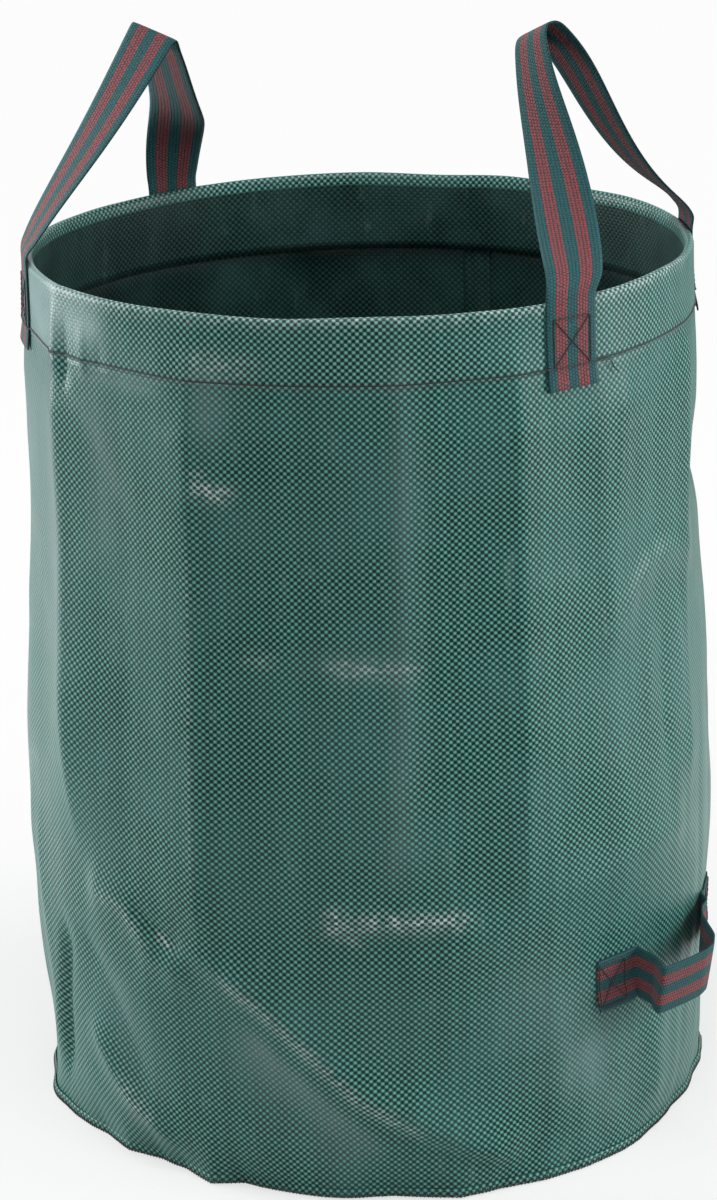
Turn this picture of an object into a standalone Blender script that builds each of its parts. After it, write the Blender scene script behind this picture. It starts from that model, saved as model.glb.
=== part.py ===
"""Garden waste bag: a woven tube with a stiffened mouth, two carrying handles and a tipping handle.

Metres, +Z up. The origin is the centre of the base's underside. The carrying handles stand at +X
and -X, and the tipping handle is low on the wall under the one at +X. Angles are measured from
+X towards +Y.
"""
import math

import bmesh
import bpy
from mathutils import Matrix, Vector

# Bag body
BAG_HEIGHT = 0.600
RIM_DIAMETER = 0.450
BELLY_DIAMETER = 0.474
BASE_DIAMETER = 0.459
BELLY_HEIGHT = 0.220
NECK_DEPTH = 0.130
FABRIC_THICKNESS = 0.0015
SEAM_ANGLE = math.radians(90.0)
SEAM_WIDTH = 0.020
SEAM_INSET = 0.003

# Mouth
HEM_DEPTH = 0.045
HEM_TURNING = 0.010
HOOP_HEIGHT = 0.022
HOOP_THICKNESS = 0.0016
HOOP_CLEARANCE = 0.0005
HEM_STITCH_INSET = 0.0025

# Base seam
BINDING_HEIGHT = 0.009
BINDING_THICKNESS = 0.0012
BINDING_STITCH_HEIGHT = 0.006

# Webbing and thread
STRAP_WIDTH = 0.040
STRAP_THICKNESS = 0.0015
THREAD_DIAMETER = 0.0008
STITCH_WIDTH = 0.0012
STITCH_THICKNESS = 0.0006
STITCH_BOX_ACROSS = 0.029
STITCH_BOX_ALONG = 0.031
TOUCH_GAP = 0.0003

# Carrying handles: each strap is sewn to the hem at two places, either side of the X axis
TAB_ANGLE = math.radians(31.1)
TAB_DROP = 0.0575
TAB_RISE = 0.0125
LEG_SETTLE = 0.4
RIGHT_HANDLE = {"lean": 0.070, "rise": 0.131, "tilt": 0.50, "start": (-0.12, 0.27, 0.23), "crown": 0.15}
LEFT_HANDLE = {"lean": 0.048, "rise": 0.115, "tilt": 0.26, "start": (-0.07, 0.12, 0.10), "crown": 0.12}

# Tipping handle
TIPPING_STRAP_WIDTH = 0.036
TIPPING_HEIGHT = 0.130
TIPPING_FRONT_ANGLE = math.radians(-19.0)
TIPPING_REAR_ANGLE = math.radians(7.0)
TIPPING_TAB_LENGTH = 0.038
TIPPING_FOLD_OUT = 0.031
TIPPING_FOLD_BACK = math.radians(3.6)
TIPPING_BOW_OUT = 0.0385
TIPPING_BOW_ANGLE = math.radians(-12.6)
TIPPING_BEND_RADIUS = 0.030
TIPPING_FOLD_RADIUS = 0.004

# Facets
WALL_STEPS = 56
WALL_RINGS = 9
THREAD_SIDES = 6
LEG_ROWS = 14
TAB_COLUMNS = 4
BEND_ROWS = 5
HEM_ARC_ROWS = 4
MERGE_DISTANCE = 0.00001

# Surfaces: colour and roughness
GREEN_FABRIC = (0.10, 0.27, 0.23)
FABRIC_ROUGHNESS = 0.45
WEBBING = (0.05, 0.19, 0.19)
WEBBING_ROUGHNESS = 0.7
DARK_THREAD = (0.02, 0.02, 0.022)
THREAD_ROUGHNESS = 0.8
HOOP_PLASTIC = (0.06, 0.06, 0.06)
HOOP_ROUGHNESS = 0.4

RIM_RADIUS = RIM_DIAMETER / 2
FACET_DEPTH = BELLY_DIAMETER / 2 * (1 - math.cos(math.pi / WALL_STEPS))
HEM_LINE = BAG_HEIGHT - HEM_DEPTH
POCKET = HOOP_THICKNESS + 2 * HOOP_CLEARANCE
THREAD_RADIUS = THREAD_DIAMETER / 2
HINGE_GAP = STRAP_THICKNESS / 2 + TOUCH_GAP / 2
HINGE_HEIGHT = BAG_HEIGHT + TAB_RISE
TAB_OFFSET = 2 * TOUCH_GAP + THREAD_DIAMETER + STRAP_THICKNESS / 2
HINGE_REACH = (RIM_RADIUS + TAB_OFFSET) * math.cos(TAB_ANGLE)
HINGE_HALF_SPAN = (RIM_RADIUS + TAB_OFFSET) * math.sin(TAB_ANGLE)
TIPPING_TAB_OFFSET = TOUCH_GAP + STRAP_THICKNESS / 2
TIPPING_FRONT_OFFSET = TIPPING_TAB_OFFSET + STRAP_THICKNESS + TOUCH_GAP / 2
TIPPING_REAR_OFFSET = TIPPING_TAB_OFFSET + STRAP_THICKNESS + TOUCH_GAP
TIPPING_TOP = TIPPING_HEIGHT + TIPPING_STRAP_WIDTH / 2


def smooth(share):
    """Eases a share from 0 to 1."""
    return share * share * (3 - 2 * share)


def shares(count):
    """Evenly spaced values from 0 to 1, both ends included."""
    return [i / count for i in range(count + 1)]


def swell(z):
    """Outer radius of the filled bag: it swells from the base to the belly and draws in to the rim."""
    belly = BELLY_DIAMETER / 2
    base = BASE_DIAMETER / 2
    neck = BAG_HEIGHT - NECK_DEPTH
    if z <= BELLY_HEIGHT:
        return base + (belly - base) * math.sin(math.pi / 2 * z / BELLY_HEIGHT)
    if z < neck:
        turn = math.pi * (z - BELLY_HEIGHT) / (neck - BELLY_HEIGHT)
        return RIM_RADIUS + (belly - RIM_RADIUS) * (1 + math.cos(turn)) / 2
    return RIM_RADIUS


def wall_heights():
    """Heights of the wall's rings, from the hem line down."""
    top = HEM_LINE - TOUCH_GAP
    return [top * (1 - s) for s in shares(WALL_RINGS)]


def wall_radius(z):
    """Outer radius of the wall as it is faceted: straight from ring to ring."""
    rings = wall_heights()
    for upper, lower in zip(rings, rings[1:]):
        if lower <= z <= upper:
            share = (z - lower) / (upper - lower)
            return swell(lower) + (swell(upper) - swell(lower)) * share
    return swell(z)


def around(radius, angle, z):
    return Vector((radius * math.cos(angle), radius * math.sin(angle), z))


def material(name, colour, roughness):
    made = bpy.data.materials.new(name)
    made.use_nodes = True
    shader = made.node_tree.nodes["Principled BSDF"]
    shader.inputs["Base Color"].default_value = (*colour, 1.0)
    shader.inputs["Roughness"].default_value = roughness
    shader.inputs["Metallic"].default_value = 0.0
    return made


def add(name, data, colour, roughness, carrier=None):
    """Puts a piece in the bag's collection, with its own material and the axis that it moves with."""
    piece = bpy.data.objects.new(name, data)
    bag.objects.link(piece)
    piece.data.materials.append(material(name, colour, roughness))
    if carrier is not None:
        piece.parent = carrier
        piece.matrix_parent_inverse = Matrix.Translation(-axis_places[carrier.name])
    return piece


def axis(name, place, carrier=None):
    """An empty on a joint's axis, which carries the pieces that move about it."""
    empty = bpy.data.objects.new(name, None)
    bag.objects.link(empty)
    axis_places[name] = Vector(place)
    empty.location = Vector(place)
    if carrier is not None:
        empty.parent = carrier
        empty.location = Vector(place) - axis_places[carrier.name]
    return empty


def turned(name, profile, colour, roughness, carrier=None):
    """Turns a closed profile of (radius, height) points, which runs down its outer side, about Z."""
    mesh = bpy.data.meshes.new(name)
    points = [(r, 0.0, z) for r, z in profile]
    edges = [(i, (i + 1) % len(points)) for i in range(len(points))]
    mesh.from_pydata(points, edges, [])
    piece = add(name, mesh, colour, roughness, carrier)
    screw = piece.modifiers.new("Turn", "SCREW")
    screw.axis = "Z"
    screw.angle = 2 * math.pi
    screw.steps = WALL_STEPS
    screw.render_steps = WALL_STEPS
    screw.use_merge_vertices = True
    screw.merge_threshold = MERGE_DISTANCE
    screw.use_smooth_shade = True
    return piece


def ribbon(name, rows, thickness, colour, roughness, carrier=None):
    """A sheet of cloth through rows of points, thickened equally to both sides."""
    across = len(rows[0])
    mesh = bpy.data.meshes.new(name)
    points = [tuple(p) for row in rows for p in row]
    faces = []
    for i in range(len(rows) - 1):
        for j in range(across - 1):
            first = i * across + j
            faces.append((first, first + 1, first + across + 1, first + across))
    mesh.from_pydata(points, [], faces)
    mesh.shade_smooth()
    piece = add(name, mesh, colour, roughness, carrier)
    thicken = piece.modifiers.new("Thickness", "SOLIDIFY")
    thicken.thickness = thickness
    thicken.offset = 0.0
    thicken.use_even_offset = False
    return piece


def thread_ring(name, radius, z, carrier=None):
    """One closed row of stitching around the bag."""
    bpy.ops.mesh.primitive_torus_add(
        major_radius=radius,
        minor_radius=THREAD_RADIUS,
        major_segments=WALL_STEPS,
        minor_segments=THREAD_SIDES,
        location=(0, 0, 0),
    )
    made = bpy.context.object
    mesh = made.data
    bpy.data.objects.remove(made)
    mesh.transform(Matrix.Translation((0, 0, z)))
    mesh.shade_smooth()
    return add(name, mesh, DARK_THREAD, THREAD_ROUGHNESS, carrier)


def stitch_box(name, centre, along, outward, carrier=None):
    """A sewn rectangle with a cross in it, lying on the strap at centre."""
    half_x = STITCH_BOX_ACROSS / 2
    half_y = STITCH_BOX_ALONG / 2
    slope = half_y / half_x
    band = STITCH_WIDTH / 2 * math.hypot(1, slope)
    in_x = half_x - STITCH_WIDTH
    in_y = half_y - STITCH_WIDTH
    side_y = slope * in_x - band
    side_x = (in_y - band) / slope
    outlines = [[(-half_x, -half_y), (half_x, -half_y), (half_x, half_y), (-half_x, half_y)]]
    for sign in (-1, 1):
        outlines.append([(sign * in_x, -side_y), (sign * in_x, side_y), (sign * band / slope, 0)])
        outlines.append([(-side_x, sign * in_y), (side_x, sign * in_y), (0, sign * band)])
    curve = bpy.data.curves.new(name, "CURVE")
    curve.dimensions = "2D"
    curve.fill_mode = "BOTH"
    curve.extrude = STITCH_THICKNESS / 2
    for outline in outlines:
        spline = curve.splines.new("POLY")
        spline.points.add(len(outline) - 1)
        for point, (x, y) in zip(spline.points, outline):
            point.co = (x, y, 0, 1)
        spline.use_cyclic_u = True
    piece = add(name, curve, DARK_THREAD, THREAD_ROUGHNESS, carrier)
    up = along.normalized()
    out = outward.normalized()
    turn = Matrix((up.cross(out), up, out)).transposed().to_4x4()
    piece.matrix_basis = Matrix.Translation(centre) @ turn
    return piece


def make_wall():
    """The body tube, from the base seam to the hem line."""
    heights = wall_heights()
    outer = [(wall_radius(z), z) for z in heights]
    inner = [(r - FABRIC_THICKNESS, z) for r, z in reversed(outer)]
    turned("wall_panel", outer + inner, GREEN_FABRIC, FABRIC_ROUGHNESS)

    rows = []
    half = SEAM_WIDTH / BELLY_DIAMETER
    bottom = FABRIC_THICKNESS + SEAM_INSET
    top = HEM_LINE - SEAM_INSET
    for z in [bottom] + [h for h in reversed(heights) if bottom < h < top] + [top]:
        inside = wall_radius(z) - FABRIC_THICKNESS - FACET_DEPTH
        radius = inside - TOUCH_GAP - FABRIC_THICKNESS / 2
        rows.append([around(radius, SEAM_ANGLE + half * k, z) for k in (-1, 0, 1)])
    ribbon("side_seam_allowance", rows, FABRIC_THICKNESS, GREEN_FABRIC, FABRIC_ROUGHNESS)

    curve = bpy.data.curves.new("side_seam_stitching", "CURVE")
    curve.dimensions = "3D"
    curve.bevel_depth = THREAD_RADIUS
    curve.bevel_resolution = 1
    curve.use_fill_caps = True
    spline = curve.splines.new("POLY")
    low = BINDING_HEIGHT + SEAM_INSET
    stitched = [low] + [h for h in reversed(heights) if low < h < top] + [top]
    spline.points.add(len(stitched) - 1)
    for point, z in zip(spline.points, stitched):
        place = around(wall_radius(z) + TOUCH_GAP + THREAD_RADIUS, SEAM_ANGLE, z)
        point.co = (*place, 1)
    add("side_seam_stitching", curve, DARK_THREAD, THREAD_ROUGHNESS)


def make_base():
    """The round bottom and the bound seam that joins it to the wall."""
    mesh = bpy.data.meshes.new("base_panel")
    shape = bmesh.new()
    radius = wall_radius(0) - FABRIC_THICKNESS - TOUCH_GAP
    bmesh.ops.create_cone(
        shape,
        cap_ends=True,
        segments=WALL_STEPS,
        radius1=radius,
        radius2=radius,
        depth=FABRIC_THICKNESS,
        matrix=Matrix.Translation((0, 0, FABRIC_THICKNESS / 2)),
    )
    shape.to_mesh(mesh)
    shape.free()
    add("base_panel", mesh, GREEN_FABRIC, FABRIC_ROUGHNESS)

    inner_low = max(wall_radius(0), wall_radius(BINDING_HEIGHT)) + TOUCH_GAP
    outer = inner_low + BINDING_THICKNESS
    bottom = TOUCH_GAP
    profile = [(outer, BINDING_HEIGHT), (outer, bottom), (inner_low, bottom), (inner_low, BINDING_HEIGHT)]
    turned("base_binding", profile, GREEN_FABRIC, FABRIC_ROUGHNESS)
    thread_ring("base_stitching", outer + TOUCH_GAP + THREAD_RADIUS, BINDING_STITCH_HEIGHT)


def make_mouth(rim):
    """The hem, folded over the hoop that holds the mouth open."""
    outer = RIM_RADIUS
    fold = FABRIC_THICKNESS + POCKET / 2
    middle = outer - fold
    low = HEM_LINE
    turning = HEM_LINE - HEM_TURNING
    top = BAG_HEIGHT - fold
    over = [(middle + fold * math.cos(math.pi * s), top + fold * math.sin(math.pi * s))
            for s in shares(HEM_ARC_ROWS)]
    under = [(middle + POCKET / 2 * math.cos(math.pi * s), top + POCKET / 2 * math.sin(math.pi * s))
             for s in shares(HEM_ARC_ROWS)]
    profile = [(outer, low), (outer - FABRIC_THICKNESS, low)]
    profile += under
    profile += [(outer - FABRIC_THICKNESS - POCKET, turning), (outer - 2 * fold, turning)]
    profile += list(reversed(over))
    turned("top_hem", profile, GREEN_FABRIC, FABRIC_ROUGHNESS, rim)

    hoop_outer = middle + HOOP_THICKNESS / 2
    hoop_inner = middle - HOOP_THICKNESS / 2
    hoop_top = top - HOOP_CLEARANCE
    hoop_low = hoop_top - HOOP_HEIGHT
    hoop = [(hoop_outer, hoop_top), (hoop_outer, hoop_low), (hoop_inner, hoop_low), (hoop_inner, hoop_top)]
    turned("rim_hoop", hoop, HOOP_PLASTIC, HOOP_ROUGHNESS, rim)
    thread_ring("hem_stitching", outer + TOUCH_GAP + THREAD_RADIUS, HEM_LINE + HEM_STITCH_INSET, rim)


def carrying_handle(name, side, shape, rim):
    """One strap: two sewn ends on the hem, and the loop that swings about the line through them."""
    pivot = axis(name + "_axis", (side * HINGE_REACH, 0, HINGE_HEIGHT), rim)
    half = STRAP_WIDTH / 2
    tab_low = BAG_HEIGHT - TAB_DROP
    tab_radius = RIM_RADIUS + TAB_OFFSET
    for end, sign in (("front", -1), ("rear", 1)):
        across = [half * (2 * s - 1) for s in shares(TAB_COLUMNS)]
        sewn = [Vector((tab_radius * math.cos(sign * TAB_ANGLE + u / tab_radius),
                        tab_radius * math.sin(sign * TAB_ANGLE + u / tab_radius), 0)) for u in across]
        turned_in = [Vector((HINGE_REACH, sign * HINGE_HALF_SPAN + u, 0)) for u in across]
        rows = [[Vector((p.x, p.y, z)) for p in sewn] for z in (tab_low, HEM_LINE, BAG_HEIGHT)]
        rise = TAB_RISE - HINGE_GAP
        for s in shares(BEND_ROWS)[1:]:
            ease = smooth(s)
            rows.append([p.lerp(q, ease) + Vector((0, 0, BAG_HEIGHT + rise * s))
                         for p, q in zip(sewn, turned_in)])
        rows = [[Vector((side * p.x, p.y, p.z)) for p in row] for row in rows]
        ribbon(f"{name}_{end}_tab", rows, STRAP_THICKNESS, WEBBING, WEBBING_ROUGHNESS, rim)

        angle = sign * TAB_ANGLE
        outward = Vector((side * math.cos(angle), math.sin(angle), 0))
        face = tab_radius + STRAP_THICKNESS / 2 + TOUCH_GAP + STITCH_THICKNESS / 2
        middle = HEM_LINE + HEM_STITCH_INSET + STITCH_BOX_ALONG / 2
        centre = outward * face + Vector((0, 0, middle))
        stitch_box(f"{name}_{end}_stitching", centre, Vector((0, 0, 1)), outward, rim)

    crown = Vector((HINGE_REACH - shape["lean"], 0, HINGE_HEIGHT + shape["rise"]))
    start = Vector((HINGE_REACH, -HINGE_HALF_SPAN, HINGE_HEIGHT))
    width_end = Vector((math.cos(shape["tilt"]), 0, math.sin(shape["tilt"])))
    leave = Vector(shape["start"])
    arrive = Vector((0, shape["crown"], 0))
    front = []
    for u in shares(LEG_ROWS):
        u2 = u * u
        u3 = u2 * u
        place = (start * (2 * u3 - 3 * u2 + 1) + leave * (u3 - 2 * u2 + u)
                 + crown * (3 * u2 - 2 * u3) + arrive * (u3 - u2))
        travel = (start * (6 * u2 - 6 * u) + leave * (3 * u2 - 4 * u + 1)
                  + crown * (6 * u - 6 * u2) + arrive * (3 * u2 - 2 * u))
        travel.normalize()
        width = Vector((0, 1, 0)).lerp(width_end, smooth(u))
        width -= travel * width.dot(travel) * smooth(min(1, u / LEG_SETTLE))
        width.normalize()
        front.append((place, width))
    rear = [(Vector((p.x, -p.y, p.z)), Vector((w.x, -w.y, w.z))) for p, w in reversed(front[:-1])]
    rows = []
    for place, width in front + rear:
        edges = [place + width * half * k for k in (-1, 0, 1)]
        rows.append([Vector((side * p.x, p.y, p.z)) for p in edges])
    ribbon(name + "_loop", rows, STRAP_THICKNESS, WEBBING, WEBBING_ROUGHNESS, pivot)


def fillet(corner, before, after, radius):
    """Points that round the corner of a path in plan."""
    into = (corner - before).normalized()
    out = (after - corner).normalized()
    turn = into.angle(out)
    reach = radius * math.tan(turn / 2)
    first = corner - into * reach
    last = corner + out * reach
    points = []
    for s in shares(BEND_ROWS):
        points.append(first * (1 - s) ** 2 + corner * 2 * s * (1 - s) + last * s ** 2)
    return points


def tipping_handle():
    """The low strap: two sewn ends and a loop, folded back on itself at its front end."""
    half = TIPPING_STRAP_WIDTH / 2
    heights = [TIPPING_HEIGHT + half * (2 * s - 1) for s in shares(2)]
    tab_turn = TIPPING_TAB_LENGTH / wall_radius(TIPPING_HEIGHT)
    for end, sign, inner in (("front", -1, TIPPING_FRONT_ANGLE), ("rear", 1, TIPPING_REAR_ANGLE)):
        rows = []
        for s in shares(TAB_COLUMNS):
            angle = inner + sign * tab_turn * s
            rows.append([around(wall_radius(z) + TIPPING_TAB_OFFSET, angle, z) for z in heights])
        ribbon(f"tipping_handle_{end}_tab", rows, STRAP_THICKNESS, WEBBING, WEBBING_ROUGHNESS)
        middle = inner + sign * tab_turn / 2
        outward = around(1, middle, 0)
        face = TIPPING_TAB_OFFSET + STRAP_THICKNESS / 2 + TOUCH_GAP + STITCH_THICKNESS / 2
        bulge = max(wall_radius(z) for z in heights)
        centre = around(bulge + face, middle, TIPPING_HEIGHT)
        tangent = Vector((-math.sin(middle), math.cos(middle), 0))
        stitch_box(f"tipping_handle_{end}_stitching", centre, tangent, outward)

    root = max(wall_radius(z) for z in heights) + TIPPING_REAR_OFFSET
    start = around(root - TIPPING_REAR_OFFSET + TIPPING_FRONT_OFFSET, TIPPING_FRONT_ANGLE, 0)
    finish = around(root, TIPPING_REAR_ANGLE, 0)
    fold = around(root + TIPPING_FOLD_OUT, TIPPING_FRONT_ANGLE - TIPPING_FOLD_BACK, 0)
    bow = around(root + TIPPING_BOW_OUT, TIPPING_BOW_ANGLE, 0)
    path = [start]
    path += fillet(fold, start, bow, TIPPING_FOLD_RADIUS)
    path += fillet(bow, fold, finish, TIPPING_BEND_RADIUS)
    path += [bow.lerp(finish, 0.5), finish]
    level = start.lerp(finish, -start.y / (finish.y - start.y))
    pivot = axis("tipping_handle_axis", (level.x, 0, TIPPING_TOP))
    rows = [[Vector((p.x, p.y, z)) for z in heights] for p in path]
    ribbon("tipping_handle_loop", rows, STRAP_THICKNESS, WEBBING, WEBBING_ROUGHNESS, pivot)


for old in list(bpy.data.objects):
    bpy.data.objects.remove(old)

bag = bpy.data.collections.new("garden_waste_bag")
bpy.context.scene.collection.children.link(bag)
axis_places = {}

make_wall()
make_base()
rim_axis = axis("rim_collapse_axis", (0, 0, BAG_HEIGHT))
make_mouth(rim_axis)
carrying_handle("right_handle", 1, RIGHT_HANDLE, rim_axis)
carrying_handle("left_handle", -1, LEFT_HANDLE, rim_axis)
tipping_handle()
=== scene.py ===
"""The looks of the garden waste bag: creased woven cloth, webbing straps and sewing.

Metres, +Z up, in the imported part's frame. A place on the wall is an angle from the front, in
degrees, and a height. The front looks 67 degrees clockwise of +X, and angles grow towards +X.
"""

import math

import bmesh
import bpy
import numpy as np
from mathutils import Matrix, Vector


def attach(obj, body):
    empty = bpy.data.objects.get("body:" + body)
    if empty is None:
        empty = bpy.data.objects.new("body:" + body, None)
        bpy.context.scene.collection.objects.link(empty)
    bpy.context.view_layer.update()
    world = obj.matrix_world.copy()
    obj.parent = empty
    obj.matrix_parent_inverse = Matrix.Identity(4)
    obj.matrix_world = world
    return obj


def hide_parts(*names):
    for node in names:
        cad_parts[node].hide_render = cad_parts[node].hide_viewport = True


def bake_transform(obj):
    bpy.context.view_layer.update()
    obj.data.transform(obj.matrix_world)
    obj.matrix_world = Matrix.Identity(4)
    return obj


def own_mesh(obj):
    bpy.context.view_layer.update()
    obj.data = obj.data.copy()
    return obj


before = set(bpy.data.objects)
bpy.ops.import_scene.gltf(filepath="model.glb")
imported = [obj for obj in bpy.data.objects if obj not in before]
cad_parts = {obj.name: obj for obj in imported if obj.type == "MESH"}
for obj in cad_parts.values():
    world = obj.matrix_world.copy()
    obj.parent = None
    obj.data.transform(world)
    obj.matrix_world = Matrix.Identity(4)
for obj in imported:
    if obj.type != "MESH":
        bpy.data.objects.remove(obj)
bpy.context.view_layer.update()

# The front, as an angle from +X, and the side seam, as an angle from the front
FRONT = -67.0
SEAM = 157.0

# Wall: the radii and heights of its swell, its cloth, and the rows and columns of its mesh
BASE_RADIUS = 0.2285
BELLY_RADIUS = 0.2355
RIM_RADIUS = 0.2246
BELLY_HEIGHT = 0.220
NECK_HEIGHT = 0.470
CLOTH = 0.0008
WALL_BOTTOM = 0.0022
COLUMNS = 600
WALL_ROWS = 134
INSIDE_ROWS = 28
CREST = 0.0020

# The wall's top edge, hidden by the hem: how far it stands over the hem's line and turns in
TOP_EDGE_RISE = 0.0015
TOP_EDGE_IN = 0.0010
TOP_EDGE_INSIDE = 0.0012

# Side seam, and how far up and down its turning keeps clear of the creases beside it
SEAM_FOOT = 0.0045
SEAM_TOP = 0.5520
SEAM_HALF_WIDTH = 0.010
SEAM_CLEARS = 0.021
SEAM_HEIGHTS = (0.003, 0.553)
SEAM_THICKNESS = 1.6
SEAM_THREAD_FOOT = 0.012

# Base: the height of each face at its sewn edge and how far it rises inside that, its puckers as a
# depth, cells around and out, and a seed, and how much of them shows underneath
BASE_TOP = (0.0012, 0.0015)
BASE_UNDER = (0.0006, 0.0004)
BASE_PUCKERS = (0.0012, (30, 9), 17)
PUCKERS_UNDER = 0.4
PUCKERS_EASE = 0.15

# The sewn edge around the foot: its section as steps outward and heights, how much of it follows the
# foot's own outline, and the loops of thread whipped over it
EDGE_SECTION = [(0.0004, 0.0066), (0.0012, 0.0060), (0.0017, 0.0034), (0.0016, 0.0010),
                (0.0011, 0.0003), (-0.0016, 0.0001), (-0.0016, 0.0004), (0.0004, 0.0005)]
EDGE_FOLLOWS_FOOT = 0.65
OVERLOCK_LOOPS = 560
OVERLOCK_STEPS = 14
OVERLOCK_OUT = 0.0010
OVERLOCK_UP = 0.0016
OVERLOCK_HEIGHT = 0.0021
OVERLOCK_JITTER = (0.15, (300, 1), 23)

# Mouth: the hem, its fold over the hoop, its small rises and ripples, and the room that the hoop needs
HEM_LINE = 0.555
RIM_HEIGHT = 0.600
RIM_FOLD = 0.0028
HEM_TURNING = 0.010
HEM_OUT = 0.0002
HEM_RISES = (0.0012, (24, 1), 31)
HEM_RISES_FROM = 0.570
HEM_RISES_OVER = 0.025
LINING_RIPPLES = (0.0004, (70, 8), 37)
LINING_RIPPLES_OVER = 0.010
LINING_IN = 0.0004
HOOP_CLEAR = 0.2244
HOOP_LOW = 0.566
HOOP_SLOPE = 0.4
COLLAPSE = 0.320
KEEP = (HEM_LINE - COLLAPSE) / HEM_LINE

# Webbing of the carrying straps, their sewn ends and where their loops leave the rim
STRAP_WIDTH = 0.040
STRAP_THICKNESS = 0.0014
STRAP_EDGE_THINNING = 0.45
STRAP_COLUMNS = 17
STRAP_STEP = 0.002
TAB_ANGLE = 31.1
TAB_CENTRES = [sign * TAB_ANGLE + turned - FRONT for turned in (0.0, 180.0) for sign in (-1, 1)]
TAB_LOW = 0.5425
TAB_OUT = (0.0012, 0.0016)
LOOP_RADIUS = 0.22715
LOOP_HEIGHT = 0.6125
SKIN_GAP = 0.0003

# Tipping strap: the angles between which its two ends are sewn, its middle line seen from above, out
# from its front end, folded back and bowed round to its rear, and how far it leans out where it is free
TIPPING_WIDTH = 0.036
TIPPING_HEIGHT = 0.130
TIPPING_TABS = {"front": (-19.0, -28.3), "rear": (7.0, 16.3)}
TIPPING_PATH = [(0.2385, -0.088), (0.2478, -0.1028), (0.2505, -0.0985), (0.259, -0.08), (0.265, -0.064),
                (0.2658, -0.052), (0.262, -0.039), (0.254, -0.025), (0.246, -0.01), (0.2412, 0.005),
                (0.2405, 0.018)]
TIPPING_STEP = 0.0012
TIPPING_SOFTNESS = 5
TIPPING_LEAN = 0.17
TIPPING_LEAN_OVER = 0.024
TIPPING_FREE = 0.006
TIPPING_FREE_OVER = 0.008
TIPPING_BOX_INSET = 0.0035
TIPPING_BOX_ENDS = (0.0015, 0.0250)

# Thread: its radius, how far its middle stands off what it is sewn to, its stitches, and the sewn boxes
# of the carrying straps
THREAD = 0.00045
LAID_OUT = 0.5 * THREAD
SEWN_OUT = 0.3 * THREAD
STITCH = 0.0036
STITCH_RISE = 1.3
STITCH_SINK = 0.7
STITCH_FLATNESS = 0.4
BOX_HALF = 0.0145
BOX_LOW = 0.5574
BOX_HIGH = 0.5886
BOX_STEP = 0.0007

# The row of thread on the hem: its height, waver and points, the angle over which it climbs on a sewn
# end, and its loose end beside the right strap's front, as angles, heights and distances off the cloth
HEM_THREAD_HEIGHT = 0.5570
HEM_THREAD_WAVER = (0.0008, (18, 1), 41)
HEM_THREAD_POINTS = 1600
TAB_CLIMB = 0.5
LOOSE_END = [(41.6, 0.5566, 0.0008), (43.2, 0.5574, 0.0022), (44.1, 0.5545, 0.0024),
             (44.7, 0.5505, 0.0016), (45.6, 0.5465, 0.0010)]

# Weave of the cloth: tapes standing around the bag, height of a level tape, and tape width elsewhere
TAPES_ROUND = 590
TAPE_HEIGHT = 0.00224
TAPE_WIDTH = 0.0025

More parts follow.
